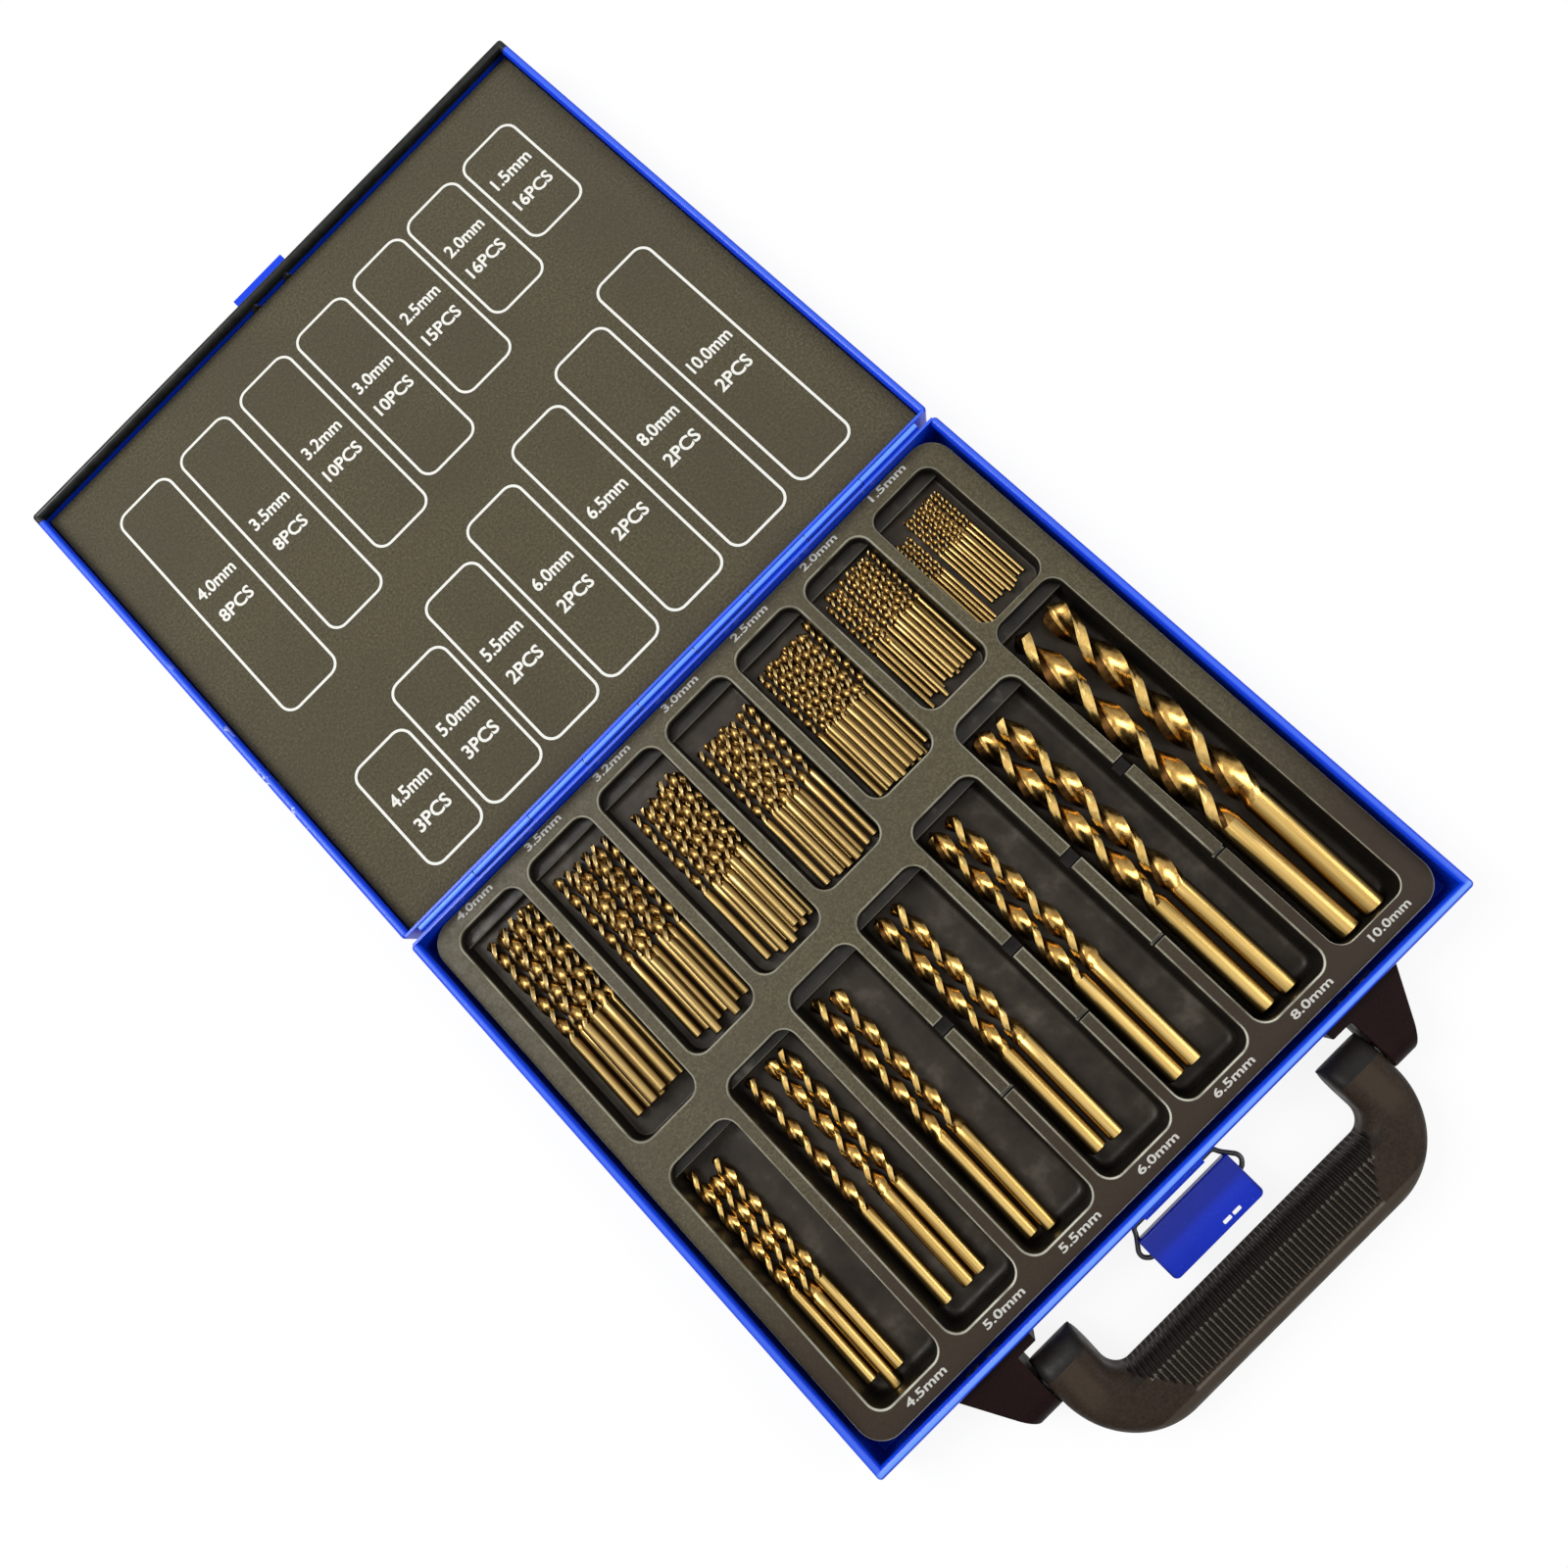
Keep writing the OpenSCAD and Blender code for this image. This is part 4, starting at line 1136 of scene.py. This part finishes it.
# the camera fitted to the photo: azimuth, elevation and roll in degrees, place in millimetres,
# focal length and picture width in pixels
CAM_ANGLES = (-2.122, 78.189, -47.461)
CAM_AT = (4.878, -18.564, 378.687)
FOCAL, PICTURE, FILM = 1200, 1600, 36


def floor():
    """A pale floor that the camera, mirrors and glass see mostly as plain white."""
    me = bpy.data.meshes.new("floor")
    s, y = FLOOR_HALF, 0.1
    corners = [(-s, y - s, 0), (s, y - s, 0), (s, y + s, 0), (-s, y + s, 0)]
    me.from_pydata(corners, [], [(0, 1, 2, 3)])
    o = bpy.data.objects.new("floor", me)
    bpy.context.scene.collection.objects.link(o)
    k = Mat("floor", rough=0.9, spec=0.1)
    k.b.inputs["Base Color"].default_value = (0.86, 0.86, 0.86, 1)
    e = k.t.nodes.new("ShaderNodeEmission")
    e.inputs["Color"].default_value = (1, 1, 1, 1)
    e.inputs["Strength"].default_value = 1.0
    ray = k.t.nodes.new("ShaderNodeLightPath").outputs
    seen = k.math("MAXIMUM", ray["Is Camera Ray"], ray["Is Glossy Ray"])
    seen = k.math("MAXIMUM", seen, ray["Is Transmission Ray"])
    mix = k.t.nodes.new("ShaderNodeMixShader")
    k.link(k.both(seen, FLOOR_GLOW), mix.inputs[0])
    k.link(k.b.outputs[0], mix.inputs[1])
    k.link(e.outputs[0], mix.inputs[2])
    k.link(mix.outputs[0], k.t.nodes["Material Output"].inputs["Surface"])
    me.materials.append(k.m)


def world():
    """A room with darker walls and a wide bright ceiling, so that metal shows dark sides."""
    w = bpy.data.worlds.new("studio")
    bpy.context.scene.world = w
    w.use_nodes = True
    t = w.node_tree
    bg = t.nodes["Background"]
    tc = t.nodes.new("ShaderNodeTexCoord")
    sp = t.nodes.new("ShaderNodeSeparateXYZ")
    t.links.new(tc.outputs["Generated"], sp.inputs[0])
    r = t.nodes.new("ShaderNodeValToRGB")
    r.color_ramp.elements.new(0.5)
    r.color_ramp.elements.new(0.8)
    stops = ((0.12, 0.07), (0.45, 0.44), (0.86, 0.6), (0.96, 1.0))
    for e, (at, v) in zip(r.color_ramp.elements, stops):
        e.position = at
        e.color = (v, v, v, 1)
    t.links.new(sp.outputs[2], r.inputs["Fac"])
    t.links.new(r.outputs["Color"], bg.inputs["Color"])
    bg.inputs["Strength"].default_value = 1.0


def lamp(name, at, to, size, power):
    """A rectangular lamp at a place, turned to another."""
    light = bpy.data.lights.new(name, "AREA")
    light.shape = "RECTANGLE"
    light.size, light.size_y = size
    light.energy = power
    o = bpy.data.objects.new(name, light)
    o.location = at
    o.rotation_mode = "QUATERNION"
    o.rotation_quaternion = (Vector(to) - Vector(at)).to_track_quat("-Z", "Y")
    bpy.context.scene.collection.objects.link(o)


def camera():
    """The camera that the photo was taken with, as far as the fit tells."""
    az, el, roll = (math.radians(v) for v in CAM_ANGLES)
    d = Vector((math.sin(az) * math.cos(el), math.cos(az) * math.cos(el), -math.sin(el)))
    right = Vector((math.cos(az), -math.sin(az), 0))
    up = right.cross(d)
    x = math.cos(roll) * right + math.sin(roll) * up
    y = -math.sin(roll) * right + math.cos(roll) * up
    c = bpy.data.cameras.new("camera")
    c.sensor_width = FILM
    c.lens = FOCAL / PICTURE * FILM
    c.clip_start, c.clip_end = 0.01, 20
    o = bpy.data.objects.new("camera", c)
    m = Matrix((x, y, -d)).transposed().to_4x4()
    m.translation = Vector(CAM_AT) * MM
    o.matrix_world = m
    bpy.context.scene.collection.objects.link(o)
    bpy.context.scene.camera = o


floor()
world()
lamp("key", (-0.55, 0.75, 1.15), LIT_AT, (0.7, 0.7), 14)
lamp("fill", (0.9, -0.7, 0.95), LIT_AT, (0.8, 0.8), 7)
camera()
scene = bpy.context.scene
scene.view_settings.view_transform = "Standard"
